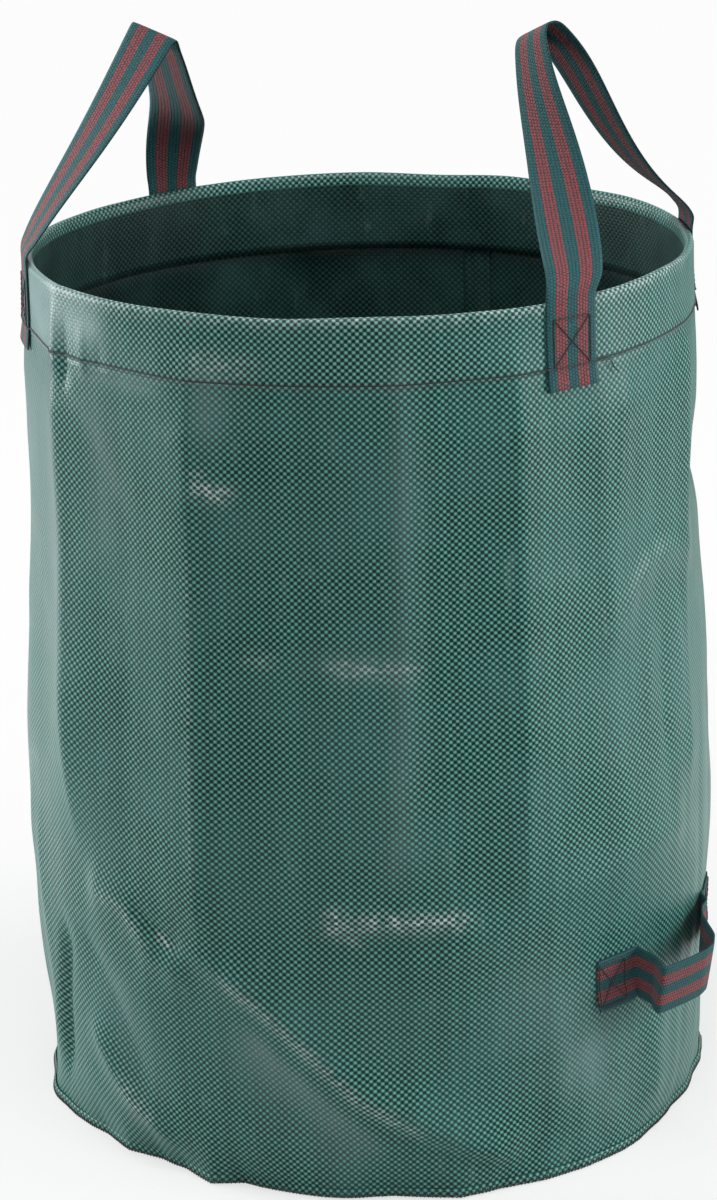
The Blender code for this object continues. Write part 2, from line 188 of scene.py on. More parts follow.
# Creases pressed and bent into the cloth: a path of (angle, height) points, the rise of the ridge in
# metres (a valley where it is negative), how far it reaches to its left and its right, and the length
# over which it fades at each end.
CREASES = [
    # Upright folds from the front left round to the back, with a few short creases among them
    ([(-88, 0.64), (-88, 0.4), (-86, 0.16)], 0.0042, 0.11, 0.09, 0.12),
    ([(-61.8, 0.745), (-60, 0.465), (-59.4, 0.37), (-57.6, 0.283), (-55.6, 0.196)],
     0.0095, 0.06, 0.07, 0.14),
    ([(-57.8, 0.37), (-56.2, 0.19)], 0.0036, 0.05, 0.06, 0.08),
    ([(-82, 0.27), (-79, 0.04)], 0.0032, 0.08, 0.05, 0.08),
    ([(-29, 0.606), (-29.5, 0.478), (-29.5, 0.345), (-29, 0.244), (-29.3, 0.168)],
     0.0085, 0.066, 0.07, 0.04),
    ([(-61.5, 0.598), (-60, 0.54)], 0.0035, 0.006, 0.008, 0.02),
    ([(-57.5, 0.59), (-57, 0.53)], -0.0035, 0.007, 0.007, 0.02),
    ([(-43, 0.196), (-39, 0.184), (-32, 0.169)], -0.0022, 0.006, 0.008, 0.012),
    ([(-53, 0.585), (-52, 0.54)], 0.003, 0.008, 0.008, 0.02),
    ([(-48.5, 0.58), (-48, 0.545)], -0.002, 0.007, 0.009, 0.02),
    ([(5.9, 0.59), (5.9, 0.46), (5, 0.35), (3.1, 0.215)], 0.0035, 0.06, 0.04, 0.05),
    ([(25.1, 0.59), (25.6, 0.435), (25.4, 0.31), (23.9, 0.192)], 0.0055, 0.045, 0.055, 0.04),
    ([(48.4, 0.57), (44.2, 0.394), (42.3, 0.335)], 0.004, 0.05, 0.05, 0.05),
    ([(72, 0.58), (70, 0.47), (66, 0.34), (64, 0.225)], 0.0045, 0.055, 0.055, 0.05),
    ([(96, 0.59), (98, 0.38), (95, 0.12)], 0.006, 0.065, 0.065, 0.06),
    ([(127, 0.59), (124, 0.42), (128, 0.22), (126, 0.06)], 0.006, 0.07, 0.06, 0.05),
    ([(-172, 0.59), (-170, 0.4), (-173, 0.17)], 0.0065, 0.07, 0.07, 0.05),
    ([(-139, 0.59), (-141, 0.3), (-137, 0.09)], 0.006, 0.07, 0.07, 0.05),
    ([(-106, 0.59), (-108, 0.42), (-104, 0.18)], 0.006, 0.07, 0.07, 0.05),
    # Slanting folds where the filled foot swells out
    ([(-55.6, 0.197), (-44.3, 0.191), (-38.8, 0.16), (-30, 0.15)], 0.0048, 0.034, 0.035, 0.02),
    ([(-63.5, 0.165), (-68, 0.085), (-71, 0.015)], -0.006, 0.012, 0.018, 0.04),
    ([(-61, 0.17), (-50, 0.12), (-41, 0.055)], -0.0035, 0.034, 0.034, 0.04),
    ([(-34.5, 0.184), (-29.5, 0.17), (-22.3, 0.1535), (-12.6, 0.1196), (-3.2, 0.0793), (9, 0.046),
      (25.9, 0.014)], 0.007, 0.05, 0.055, 0.03),
    ([(-29.5, 0.17), (-22.3, 0.1535), (-12.6, 0.1196), (-3.2, 0.0793), (9, 0.046), (25.9, 0.014)],
     0.003, 0.012, 0.03, 0.04),
    ([(-27, 0.098), (-14, 0.062), (-2, 0.026)], -0.0045, 0.045, 0.04, 0.04),
    ([(-1, 0.168), (9.4, 0.1735), (23.9, 0.1915), (33.2, 0.207), (48.5, 0.219), (68, 0.217)],
     0.0045, 0.055, 0.06, 0.05),
    ([(-4, 0.066), (9, 0.038), (26, 0.01)], -0.0035, 0.018, 0.022, 0.03),
    ([(-58, 0.1), (-47, 0.05), (-34, 0.012)], 0.0045, 0.026, 0.026, 0.03),
    ([(30.7, 0.15), (31.3, 0.02)], 0.003, 0.035, 0.035, 0.04),
    ([(53.5, 0.105), (55.5, 0.012)], 0.003, 0.03, 0.035, 0.03),
    ([(-76, 0.23), (-71.5, 0.09), (-76, 0.008)], 0.0025, 0.025, 0.03, 0.04),
    ([(-106, 0.18), (-122, 0.11), (-140, 0.03)], 0.005, 0.055, 0.05, 0.04),
    ([(-173, 0.17), (-158, 0.11), (-150, 0.02)], 0.0045, 0.05, 0.05, 0.04),
    ([(126, 0.2), (112, 0.12), (99, 0.02)], 0.0045, 0.05, 0.055, 0.04),
    # Level creases from folding the empty bag, hollows between the filling, an arched crease on the
    # right with the rays under it, and the groove along the side seam
    ([(-12, 0.206), (4, 0.2035), (19, 0.198)], 0.002, 0.016, 0.02, 0.03),
    ([(-14, 0.188), (2, 0.184), (14, 0.181)], -0.003, 0.028, 0.018, 0.03),
    ([(-30.5, 0.489), (-17, 0.491)], 0.0013, 0.012, 0.014, 0.02),
    ([(70, 0.446), (112, 0.438)], -0.0068, 0.045, 0.045, 0.05),
    ([(140, 0.33), (185, 0.322)], -0.003, 0.04, 0.04, 0.05),
    ([(-135, 0.395), (-96, 0.402)], -0.003, 0.04, 0.04, 0.05),
    ([(-26, 0.402), (4, 0.404)], -0.0007, 0.009, 0.009, 0.03),
    ([(76, 0.402), (61, 0.4105), (55, 0.408), (50.5, 0.397), (47, 0.379), (44.5, 0.357)],
     0.0028, 0.016, 0.03, 0.05),
    ([(55.5, 0.375), (51, 0.285)], 0.0014, 0.012, 0.014, 0.04),
    ([(63, 0.385), (63.5, 0.29)], 0.0014, 0.014, 0.014, 0.04),
    ([(59, 0.375), (56.5, 0.27)], -0.0014, 0.01, 0.01, 0.03),
    ([(SEAM, 0.553), (SEAM, 0.004)], -0.0012, 0.006, 0.006, 0.01),
]

# Painted highlights and painted sheen: pale glints painted on the raised tapes where creases catch the
# light, and a pale haze painted where lit facets and ridges reflect the lamps. Each is a path, a strength,
# how far it reaches to each side, and the length over which it fades
PAINTED_GLINTS = [
    ([(-30, 0.4885), (-19.5, 0.487)], 0.95, 0.013, 0.006, 0.02),
    ([(-30, 0.496), (-24, 0.495)], 0.6, 0.014, 0.008, 0.015),
    ([(-9.5, 0.206), (-3, 0.201)], 1, 0.02, 0.014, 0.014),
    ([(-5, 0.204), (17, 0.2005)], 0.85, 0.013, 0.009, 0.02),
    ([(-6, 0.186), (-1, 0.196)], 0.45, 0.012, 0.014, 0.012),
    ([(-9, 0.3745), (10, 0.3705)], 0.45, 0.012, 0.01, 0.02),
    ([(-22, 0.379), (-14, 0.376)], 0.35, 0.01, 0.008, 0.012),
    ([(-27.5, 0.162), (-22.3, 0.152), (-12.6, 0.118), (-3.2, 0.078), (8, 0.045)], 0.5, 0.01, 0.005, 0.02),
    ([(-29.6, 0.47), (-29.4, 0.2)], 0.2, 0.003, 0.006, 0.05),
    ([(-54, 0.196), (-44.3, 0.19), (-38.8, 0.159)], 0.4, 0.007, 0.006, 0.02),
    ([(-38.5, 0.179), (-33.5, 0.169)], 0.7, 0.005, 0.005, 0.01),
    ([(-50, 0.062), (-40, 0.03)], 0.55, 0.012, 0.01, 0.02),
    ([(-33, 0.57), (-14, 0.568)], 0.4, 0.014, 0.014, 0.03),
    ([(-66, 0.6), (-20, 0.6), (34, 0.6), (74, 0.6)], 0.55, 0.009, 0.009, 0.02),
]
# Painted sheen: a pale haze laid where lit facets and ridges reflect the lamps
PAINTED_SHEEN = [
    ([(-84, 0.78), (-84, 0.29)], 0.92, 0.15, 0.11, 0.19),
    ([(-61.5, 0.7), (-60, 0.465), (-59.4, 0.37), (-58, 0.29)], 0.85, 0.1, 0.004, 0.13),
    ([(-90, 0.34), (-94, -0.1)], 0.28, 0.11, 0.07, 0.1),
    ([(-96, 0.58), (-44, 0.58)], 0.95, 0.036, 0.036, 0.03),
    ([(-50, 0.565), (-48, 0.41)], 0.42, 0.03, 0.034, 0.05),
    ([(-57, 0.545), (-47, 0.49), (-40, 0.45)], 0.3, 0.014, 0.02, 0.04),
    ([(-60, 0.547), (-31, 0.549)], 0.4, 0.01, 0.008, 0.03),
    ([(-27, 0.585), (-25.5, 0.5)], 0.55, 0.018, 0.05, 0.04),
    ([(-23, 0.47), (-16, 0.455)], 0.2, 0.03, 0.03, 0.04),
    ([(5.9, 0.59), (5.9, 0.46), (5, 0.35), (3.1, 0.215)], 0.28, 0.016, 0.03, 0.04),
    ([(-14, 0.378), (6, 0.371)], 0.3, 0.022, 0.022, 0.04),
    ([(-24, 0.13), (-12, 0.08), (2, 0.03)], 0.54, 0.06, 0.012, 0.03),
    ([(20, 0.18), (30, 0.12), (36, 0.04)], 0.3, 0.06, 0.08, 0.05),
    ([(34, 0.115), (46, 0.01)], 0.42, 0.055, 0.06, 0.04),
    ([(-52, 0.15), (-44, 0.08), (-38, 0.04)], 0.26, 0.04, 0.04, 0.03),
    ([(76, 0.402), (61, 0.4105), (55, 0.408), (50.5, 0.397), (47, 0.379), (44, 0.33)],
     0.16, 0.014, 0.03, 0.06),
    ([(55.5, 0.385), (51, 0.27)], 0.13, 0.012, 0.016, 0.05),
    ([(63, 0.39), (63.5, 0.27)], 0.13, 0.014, 0.014, 0.05),
]

# How far the bottom edge is tucked in, in metres, at angles from the front
EDGE_TUCKS = [(-115, 0), (-92, 0.004), (-76, 0.004), (-68, 0), (-58, -0.009), (-50, -0.006),
              (-43, -0.014), (-37, -0.013), (-30, -0.001), (-25, -0.011), (-14, -0.005), (-5, -0.004),
              (2, -0.005), (13, 0.006), (20, 0), (28, 0.003), (40, 0.001), (51, -0.001), (64, -0.006),
              (80, -0.003), (94, 0.004)]
EDGE_WOBBLE = (0.0016, (46, 1), 11)
TUCK_HEIGHT = 0.055

# Dents and ripples all over the cloth: depth in metres, cells around and up, and seed. The ripples are
# deeper on the right, between two angles
DENTS = [(0.0013, (15, 7), 3), (0.0006, (44, 18), 5)]
FINE_RIPPLES = (0.0001, (120, 5), 8)
SIDE_RIPPLES = 0.00042
SIDE_RIPPLES_FROM = 30.0
SIDE_RIPPLES_TO = 106.0
SIDE_RIPPLES_FADE = 12.0

# Heights towards the mouth, and how much of the folds the hem and its hoop leave there
FOLDS_LEFT = ([0.520, HEM_LINE, 0.595], [1.0, 0.6, 0.25])

# Carrying straps as they stand above the rim, in the frame of the strap at +X: the place of the fold
# at the top, how far it is tilted and turned, the way each leg leaves the rim, comes up to the fold
# and bows between them, and how far the webbing's stiffness evens the loop out
RIGHT_STRAP = {
    "crown": (0.1224, 0.009, 0.1458), "tilt": 22.2, "turn": -38.2, "evened": 100,
    "front": {"leave": (-0.133, 0.4, 0.1), "lean": 33.7, "pull": 0.082, "twist": 0.6,
              "bow": (0.001, -0.005, 0)},
    "rear": {"leave": (-0.103, 0.26, 0.12), "lean": 106.7, "pull": 0.119, "twist": 0.88,
             "bow": (0, 0.004, 0)},
}
LEFT_STRAP = {
    "crown": (0.1336, -0.024, 0.1424), "tilt": 11.9, "turn": 17.5, "evened": 500,
    "front": {"leave": (-0.094, 0.136, 0.131), "lean": 26.1, "pull": 0.05, "twist": 0.6,
              "bow": (-0.004, 0.007, 0.012)},
    "rear": {"leave": (0.018, -0.065, 0.25), "lean": 20.4, "pull": 0.2, "twist": 0.6,
             "bow": (-0.0025, -0.01, -0.02)},
}
LEG_SETTLE = 0.45
LEG_POINTS = 80
STRAP_SOFTNESS = 6

# How the two edges of a carrying strap are worked: the step between rungs, the lengths that are held
# at its sewn ends and at its crown, and how stiff and how eager to move it is
RUNG_STEP = 0.004
SEWN_RUN = 0.0635
CROWN_HELD = 0.010
WEBBING_STIFFNESS = 0.4
RUNG_EASE = 0.45

# Where a sewn end lies on the bag, and over what height it leaves it
HOLD_TOP = 0.597
HOLD_OVER = 0.016
HOLD_WITHIN = 0.09


def smooth(share):
    """Eases a share, held between 0 and 1."""
    share = np.clip(share, 0.0, 1.0)
    return share * share * (3 - 2 * share)


def swell(z):
    """Radius of the filled bag without its creases."""
    rise = np.sin(math.pi / 2 * np.clip(z / BELLY_HEIGHT, 0.0, 1.0))
    turn = math.pi * np.clip((z - BELLY_HEIGHT) / (NECK_HEIGHT - BELLY_HEIGHT), 0.0, 1.0)
    low = BASE_RADIUS + (BELLY_RADIUS - BASE_RADIUS) * rise
    high = RIM_RADIUS + (BELLY_RADIUS - RIM_RADIUS) * (1 + np.cos(turn)) / 2
    return np.where(z < BELLY_HEIGHT, low, high)


def crumple(angle, z, cells, seed):
    """Smooth noise from -1 to 1 over the unrolled wall, which meets itself all the way round."""
    across, up = cells
    knots = np.random.default_rng(seed).uniform(-1.0, 1.0, (across, up + 2))
    x = (angle / 360.0 % 1.0) * across
    y = np.clip(z / RIM_HEIGHT, 0.0, 1.0) * up
    i = np.floor(x).astype(int) % across
    j = np.floor(y).astype(int)
    ease_x = smooth(x - np.floor(x))
    ease_y = smooth(y - j)
    after = (i + 1) % across
    low = knots[i, j] * (1 - ease_x) + knots[after, j] * ease_x
    high = knots[i, j + 1] * (1 - ease_x) + knots[after, j + 1] * ease_x
    return low * (1 - ease_y) + high * ease_y


def rippled(angle, z, ripples):
    """Smooth noise of a depth, with cells around and up and a seed."""
    depth, cells, seed = ripples
    return depth * crumple(angle, z, cells, seed)


def crease(angle, z, path, rise, reach_left, reach_right, fade):
    """Height of one crease, or strength of one mark, full along its path and soft at its foot."""
    middle = sum(point[0] for point in path) / len(path)
    turned = middle + (angle - middle + 180.0) % 360.0 - 180.0
    x = np.radians(turned) * BELLY_RADIUS
    knots = [(math.radians(a) * BELLY_RADIUS, height) for a, height in path]
    nearest = np.full(x.shape, np.inf)
    side = np.zeros(x.shape)
    run = np.zeros(x.shape)
    total = 0.0
    for (x0, z0), (x1, z1) in zip(knots, knots[1:]):
        length = math.hypot(x1 - x0, z1 - z0)
        ux = (x1 - x0) / length
        uz = (z1 - z0) / length
        along = np.clip((x - x0) * ux + (z - z0) * uz, 0.0, length)
        off_x = x - x0 - along * ux
        off_z = z - z0 - along * uz
        distance = np.hypot(off_x, off_z)
        closer = distance < nearest
        nearest = np.where(closer, distance, nearest)
        side = np.where(closer, ux * off_z - uz * off_x, side)
        run = np.where(closer, total + along, run)
        total += length
    nearest = np.hypot(nearest, CREST) - CREST
    reach = np.where(side > 0, reach_right, reach_left)
    foot = np.clip(1 - nearest / reach, 0.0, 1.0) ** 2
    return rise * foot * smooth(np.minimum(run, total - run) / fade)


def skin(angle, z):
    """Outer radius of the cloth at an angle from the front and a height."""
    angle, z = np.broadcast_arrays(np.asarray(angle, float), np.asarray(z, float))
    turned = (angle + 180.0) % 360.0 - 180.0
    folds = sum(crease(angle, z, *line) for line in CREASES)
    for dents in DENTS:
        folds = folds + rippled(angle, z, dents)
    side = (smooth((turned - SIDE_RIPPLES_FROM) / SIDE_RIPPLES_FADE)
            * smooth((SIDE_RIPPLES_TO - turned) / SIDE_RIPPLES_FADE))
    depth, cells, seed = FINE_RIPPLES
    folds = folds + (depth + SIDE_RIPPLES * side) * crumple(angle, z, cells, seed)
    tuck = np.interp(turned, *zip(*EDGE_TUCKS), left=0.0, right=0.0) + rippled(angle, 0.0, EDGE_WOBBLE)
    foot = np.clip(1 - z / TUCK_HEIGHT, 0.0, 1.0) ** 2
    radius = swell(z) + folds * np.interp(z, *FOLDS_LEFT) + tuck * foot
    return np.maximum(radius, HOOP_CLEAR - HOOP_SLOPE * np.clip(HOOP_LOW - z, 0.0, 1.0))


def over_cloth(angle, z, folded):
    """Outer radius that clears the cloth both as it stands and where it comes when it is folded up."""
    return np.maximum(skin(angle, z), skin(angle, folded))


def folded_by_rim(z):
    """The height of the cloth that comes beside a height on the rim when the bag is folded up."""
    return np.where(z < HEM_LINE, HEM_LINE - (HEM_LINE - z) / KEEP, z)


def standing(radius, angle, z):
    """Points at a radius, an angle from +X and a height."""
    radius, turn, z = np.broadcast_arrays(radius, np.radians(angle), z)
    return np.stack([radius * np.cos(turn), radius * np.sin(turn), z], axis=-1)


def around(radius, angle, z):
    """Points at a radius, an angle from the front and a height."""
    return standing(radius, FRONT + np.asarray(angle, float), z)


def unit(vectors):
    """The vectors at a length of one."""
    return vectors / np.linalg.norm(vectors, axis=-1, keepdims=True)


def lengths_along(line):
    """The distance along a line at each of its points."""
    step = np.linalg.norm(np.diff(line, axis=0), axis=1)
    return np.concatenate([[0.0], np.cumsum(step)])


def placed(name, data):
    """A new object in the scene."""
    made = bpy.data.objects.new(name, data)
    bpy.context.scene.collection.objects.link(made)
    return made


def piece(name, points, faces, corner_uv, shades=None):
    """A mesh object with its weave coordinates, its normals outward and its faces smooth."""
    mesh = bpy.data.meshes.new(name)
    mesh.from_pydata(points.reshape(-1, 3).tolist(), [], faces)
    layer = mesh.uv_layers.new(name="weave")
    layer.data.foreach_set("uv", np.asarray(corner_uv, np.float32).reshape(-1))
    if shades is not None:
        mesh.polygons.foreach_set("material_index", np.asarray(shades, np.int32))
    shape = bmesh.new()
    shape.from_mesh(mesh)
    bmesh.ops.recalc_face_normals(shape, faces=shape.faces)
    shape.to_mesh(mesh)
    shape.free()
    mesh.shade_smooth()
    return placed(name, mesh)


def grid_faces(rows, columns, close_rows, close_columns):
    """Row and column numbers of each quad's corners, running on past the end where the grid closes."""
    r, c = np.meshgrid(np.arange(rows if close_rows else rows - 1),
                       np.arange(columns if close_columns else columns - 1), indexing="ij")
    r = np.stack([r, r, r + 1, r + 1], axis=-1).reshape(-1, 4)
    c = np.stack([c, c + 1, c + 1, c], axis=-1).reshape(-1, 4)
    return r, c


def ring(name, points, u, v, inside_from=None):
    """A closed skin from a grid of points that runs around the bag and around its own section.

    u has one value more than the columns, and v one more than the rows. Rows from inside_from on
    take the second material.
    """
    rows, columns = points.shape[:2]
    r, c = grid_faces(rows, columns, True, True)
    faces = ((r % rows) * columns + c % columns).tolist()
    corner_uv = np.stack([u[c], v[r]], axis=-1)
    shades = None if inside_from is None else (r[:, 0] >= inside_from).astype(int)
    return piece(name, points, faces, corner_uv, shades)


def band(name, outer, inner, u, v):
    """A closed strip between two facing grids of points. u is across it and v along it."""
    rows, columns = outer.shape[:2]
    count = rows * columns
    points = np.concatenate([outer.reshape(-1, 3), inner.reshape(-1, 3)])
    r, c = grid_faces(rows, columns, False, False)
    top = r * columns + c
    corners = [top, top[:, ::-1] + count]
    uv = [np.stack([u[c], v[r]], axis=-1), np.stack([u[c], v[r]], axis=-1)[:, ::-1]]
    edge = [i * columns for i in range(rows)]
    far = [i * columns + columns - 1 for i in range(rows)]
    first = list(range(columns))
    last = [(rows - 1) * columns + i for i in range(columns)]
    for line in (edge, far, first, last):
        line = np.array(line)
        a, b = line[:-1], line[1:]
        corners.append(np.stack([a, b, b + count, a + count], axis=-1))
        place = np.stack([a, b, b, a], axis=-1)
        uv.append(np.stack([u[place % columns], v[place // columns]], axis=-1))
    return piece(name, points, np.concatenate(corners).tolist(), np.concatenate(uv))


def tube(name, runs, radius, sides=6):
    """Round thread along runs of (points, outward directions, closed)."""
    points = []
    faces = []
    uv = []
    start = 0
    for line, outward, closed in runs:
        if closed:
            along = unit(np.roll(line, -1, axis=0) - np.roll(line, 1, axis=0))
        else:
            along = unit(np.gradient(line, axis=0))
        side = unit(np.cross(outward, along))
        up = np.cross(along, side)
        turn = np.linspace(0, math.tau, sides, endpoint=False)[None, :, None]
        ringed = line[:, None] + radius * (np.cos(turn) * up[:, None] + np.sin(turn) * side[:, None])
        points.append(ringed.reshape(-1, 3))
        rows = len(line)
        r, c = grid_faces(rows, sides, closed, True)
        faces += ((r % rows) * sides + c % sides + start).tolist()
        run = lengths_along(line)
        run = np.append(run, run[-1] + run[1])
        uv += np.stack([c / sides, run[r] / (2 * radius)], axis=-1).reshape(-1, 2).tolist()
        if not closed:
            caps = [list(range(sides))[::-1], [(rows - 1) * sides + k for k in range(sides)]]
            for cap in caps:
                faces.append([start + k for k in cap])
                uv += [[0.5, 0.5]] * sides
        start += rows * sides
    return piece(name, np.concatenate(points), faces, uv)


def stitched(line, outward, closed=False):
    """A run of thread that dips into the cloth between stitches."""
    run = lengths_along(line)
    total = run[-1] + (run[1] if closed else 0.0)
    count = max(1, round(total / STITCH))
    lift = np.abs(np.sin(math.pi * count * run / total)) ** STITCH_FLATNESS
    return line + outward * (THREAD * (STITCH_RISE * lift - STITCH_SINK))[:, None], outward, closed


# Materials

def put(tree, kind, values=None, **settings):
    """Adds a node and sets or links its inputs."""
    made = tree.nodes.new("ShaderNode" + kind)
    for name, value in settings.items():
        setattr(made, name, value)
    for key, value in (values or {}).items():
        if isinstance(value, bpy.types.NodeSocket):
            tree.links.new(value, made.inputs[key])
        else:
            made.inputs[key].default_value = value
    return made


def calc(tree, operation, *values, clamp=False):
    """One step of arithmetic."""
    return put(tree, "Math", dict(enumerate(values)), operation=operation, use_clamp=clamp).outputs[0]


def blended(tree, share, first, second, mode="MIX"):
    """One colour laid over another by a share."""
    made = put(tree, "Mix", data_type="RGBA", blend_type=mode, clamp_factor=True)
    for socket, value in ((made.inputs[0], share), (made.inputs[6], first), (made.inputs[7], second)):
        if isinstance(value, bpy.types.NodeSocket):
            tree.links.new(value, socket)
        else:
            socket.default_value = value
    return made.outputs[2]


def started(name, constants):
    """A new Principled material, with the inputs that are the same all over it."""
    made = bpy.data.materials.new(name)
    made.use_nodes = True
    shader = made.node_tree.nodes["Principled BSDF"]
    for key, value in constants.items():
        shader.inputs[key].default_value = value
    return made, made.node_tree, shader


def weave_places(tree):
    """The weave's coordinates, and the two across and along it."""
    place = put(tree, "UVMap", uv_map="weave").outputs[0]
    parts = put(tree, "SeparateXYZ", {0: place})
    return place, parts.outputs[0], parts.outputs[1]


def per_tape(tree, place, seed, least, most):
    """A tone that changes from one tape to the next."""
    number = calc(tree, "ADD", calc(tree, "FLOOR", place), seed)
    drawn = put(tree, "TexWhiteNoise", {"W": number}, noise_dimensions="1D").outputs[0]
    return calc(tree, "MULTIPLY_ADD", drawn, most - least, least)


def noise(tree, place, x, y, detail=2.0, roughness=0.5, scale=1.0):
    """Cloudy noise over a place that is first stretched by x and y."""
    stretched = put(tree, "VectorMath", {0: place, 1: (x, y, 1.0)}, operation="MULTIPLY").outputs[0]
    return put(tree, "TexNoise", {"Vector": stretched, "Scale": scale, "Detail": detail,
                                  "Roughness": roughness}).outputs[0]


def ranged(tree, value, low, high, to_low, to_high):
    """A value carried from one range to another and held inside it."""
    return put(tree, "MapRange", {0: value, 1: low, 2: high, 3: to_low, 4: to_high}).outputs[0]


def ribbed(tree, place, count=1):
    """Rounded ribs, this many to each whole step of a place."""
    return calc(tree, "ABSOLUTE", calc(tree, "SINE", calc(tree, "MULTIPLY", place, math.pi * count)))


def surfaced(tree, shader, colour, roughness, relief, strength, depth):
    """Gives the shader its colour, its roughness and a relief of this depth in metres."""
    bump = put(tree, "Bump", {"Strength": strength, "Distance": depth, "Height": relief}).outputs[0]
    for socket, value in (("Base Color", colour), ("Roughness", roughness), ("Normal", bump)):
        tree.links.new(value, shader.inputs[socket])


def woven(name, crown_highlight, light, dark, roughness, sheen_colour):
    """Plain weave of flat plastic tapes: pale upright tapes over dark level ones, and the reverse."""
    made, tree, shader = started(name, {"Sheen Weight": 0.04, "Sheen Roughness": 0.45, "Coat Weight": 0.03,
                                        "Coat Roughness": 0.35, "Sheen Tint": (0.78, 0.92, 0.88, 1.0),
                                        "Specular IOR Level": 0.22})
    place, u, v = weave_places(tree)
    wave_u = calc(tree, "SINE", calc(tree, "MULTIPLY", u, math.pi))
    wave_v = calc(tree, "SINE", calc(tree, "MULTIPLY", v, math.pi))
    lattice = calc(tree, "MULTIPLY", wave_u, wave_v)

    # The tapes, each with a tone of its own, and paler where an upright one comes to the front
    over = calc(tree, "MULTIPLY_ADD", lattice, 1.1, 0.42, clamp=True)
    upright = calc(tree, "MULTIPLY", over, per_tape(tree, u, 0.0, 0.82, 1.12))
    level = per_tape(tree, v, 700.5, 0.6, 1.5)
    grey = put(tree, "CombineXYZ", {0: level, 1: level, 2: level}).outputs[0]
    colour = blended(tree, upright, blended(tree, 1.0, dark, grey, "MULTIPLY"), light)
    # Painted highlight on the crown of each tape
    crown = calc(tree, "POWER", calc(tree, "MAXIMUM", lattice, 0.0), 1.6)
    colour = blended(tree, calc(tree, "MULTIPLY", crown, 0.50), colour, crown_highlight)

    # Faded clouds, scuffs, and painted shade in the gaps between the tapes
    cloudy = noise(tree, place, 0.035, 0.030, 3.0, 0.55)
    colour = blended(tree, ranged(tree, cloudy, 0.42, 0.72, 0.0, 0.22), colour, (0.09, 0.23, 0.225, 1.0))
    scuffs = noise(tree, place, 0.16, 0.05, 5.0, 0.7)
    colour = blended(tree, ranged(tree, scuffs, 0.60, 0.75, 0.0, 0.25), colour, (0.22, 0.33, 0.30, 1.0))
    gap = calc(tree, "SUBTRACT", 1.0, calc(tree, "POWER", calc(tree, "ABSOLUTE", lattice), 0.5))
    colour = blended(tree, calc(tree, "MULTIPLY", gap, 0.25), colour, (0.003, 0.012, 0.010, 1.0))

    # The painted sheen, a pale haze where lit facets and ridges reflect the lamps, and the painted glints on
    # the raised tapes
    sheen_share = put(tree, "Attribute", attribute_name="sheen_painted").outputs["Fac"]
    sheen_share = calc(tree, "MULTIPLY", sheen_share, ranged(tree, cloudy, 0.3, 0.7, 0.50, 0.90))
    colour = blended(tree, sheen_share, colour, sheen_colour)
    glint = put(tree, "Attribute", attribute_name="glint_painted").outputs["Fac"]
    grain = noise(tree, place, 0.30, 0.55, 3.0, 0.7)
    glint = calc(tree, "MULTIPLY", glint, ranged(tree, grain, 0.38, 0.62, 0.0, 1.1))
    glint = calc(tree, "MULTIPLY", glint, calc(tree, "MULTIPLY_ADD", upright, 0.95, 0.04), clamp=True)
    colour = blended(tree, glint, colour, (0.72, 0.80, 0.80, 1.0))

    rough = ranged(tree, cloudy, 0.3, 0.7, roughness - 0.06, roughness + 0.08)
    pillow = calc(tree, "POWER", calc(tree, "ABSOLUTE", lattice), 0.45)
    surfaced(tree, shader, colour, rough, calc(tree, "MULTIPLY_ADD", over, 0.35, pillow), 0.40, 0.00030)
    return made


def red_stripes(tree, across):
    """Green with two dull red stripes, each with a darker line along its middle."""
    made = put(tree, "ValToRGB", {0: across})
    ramp = made.color_ramp
    green = (0.012, 0.110, 0.118, 1.0)
    red = (0.330, 0.060, 0.068, 1.0)
    line = (0.150, 0.050, 0.058, 1.0)
    ramp.elements[0].color = green
    ramp.elements[1].position = 1.0
    ramp.elements[1].color = green
    for edge, before, after in ((0.180, green, red), (0.395, red, green), (0.612, green, red),
                                (0.825, red, green)):
        ramp.elements.new(edge - 0.010).color = before
        ramp.elements.new(edge + 0.010).color = after
    for middle in (0.2875, 0.7185):
        for offset, tone in ((-0.016, red), (0.0, line), (0.016, red)):
            ramp.elements.new(middle + offset).color = tone
    return made.outputs[0]


def striped(name):
    """Ribbed webbing with two stripes along it. u runs once across it."""
    made, tree, shader = started(name, {"Sheen Weight": 0.08, "Sheen Roughness": 0.5,
                                        "Sheen Tint": (0.7, 0.85, 0.85, 1.0), "Specular IOR Level": 0.2})
    place, u, v = weave_places(tree)
    wobble = noise(tree, place, 30.0, 60.0)
    stripes = red_stripes(tree, calc(tree, "ADD", u, calc(tree, "MULTIPLY_ADD", wobble, 0.03, -0.015)))
    rib_count = 17
    shift = calc(tree, "MULTIPLY", calc(tree, "FLOOR", calc(tree, "MULTIPLY", u, rib_count)), 0.5)
    beads = ribbed(tree, calc(tree, "MULTIPLY_ADD", v, 18.0, shift))
    ribs = ribbed(tree, u, rib_count)
    yarn = calc(tree, "MULTIPLY", calc(tree, "POWER", ribs, 0.6), calc(tree, "POWER", beads, 0.7))
    specks = noise(tree, place, 27.0, 23.0, 3.0, 0.7)
    # Painted shade in the grooves between the yarns, deeper in places with the specks
    dark = calc(tree, "MULTIPLY", calc(tree, "MULTIPLY_ADD", yarn, -1.05, 1.02),
                ranged(tree, specks, 0.36, 0.62, 0.20, 1.90), clamp=True)
    colour = blended(tree, dark, stripes, (0.012, 0.030, 0.034, 1.0))
    colour = blended(tree, ranged(tree, specks, 0.60, 0.80, 0.0, 0.35), colour, (0.30, 0.33, 0.33, 1.0))
    surfaced(tree, shader, colour, calc(tree, "MULTIPLY_ADD", specks, 0.2, 0.62), yarn, 0.7, 0.0004)
    return made


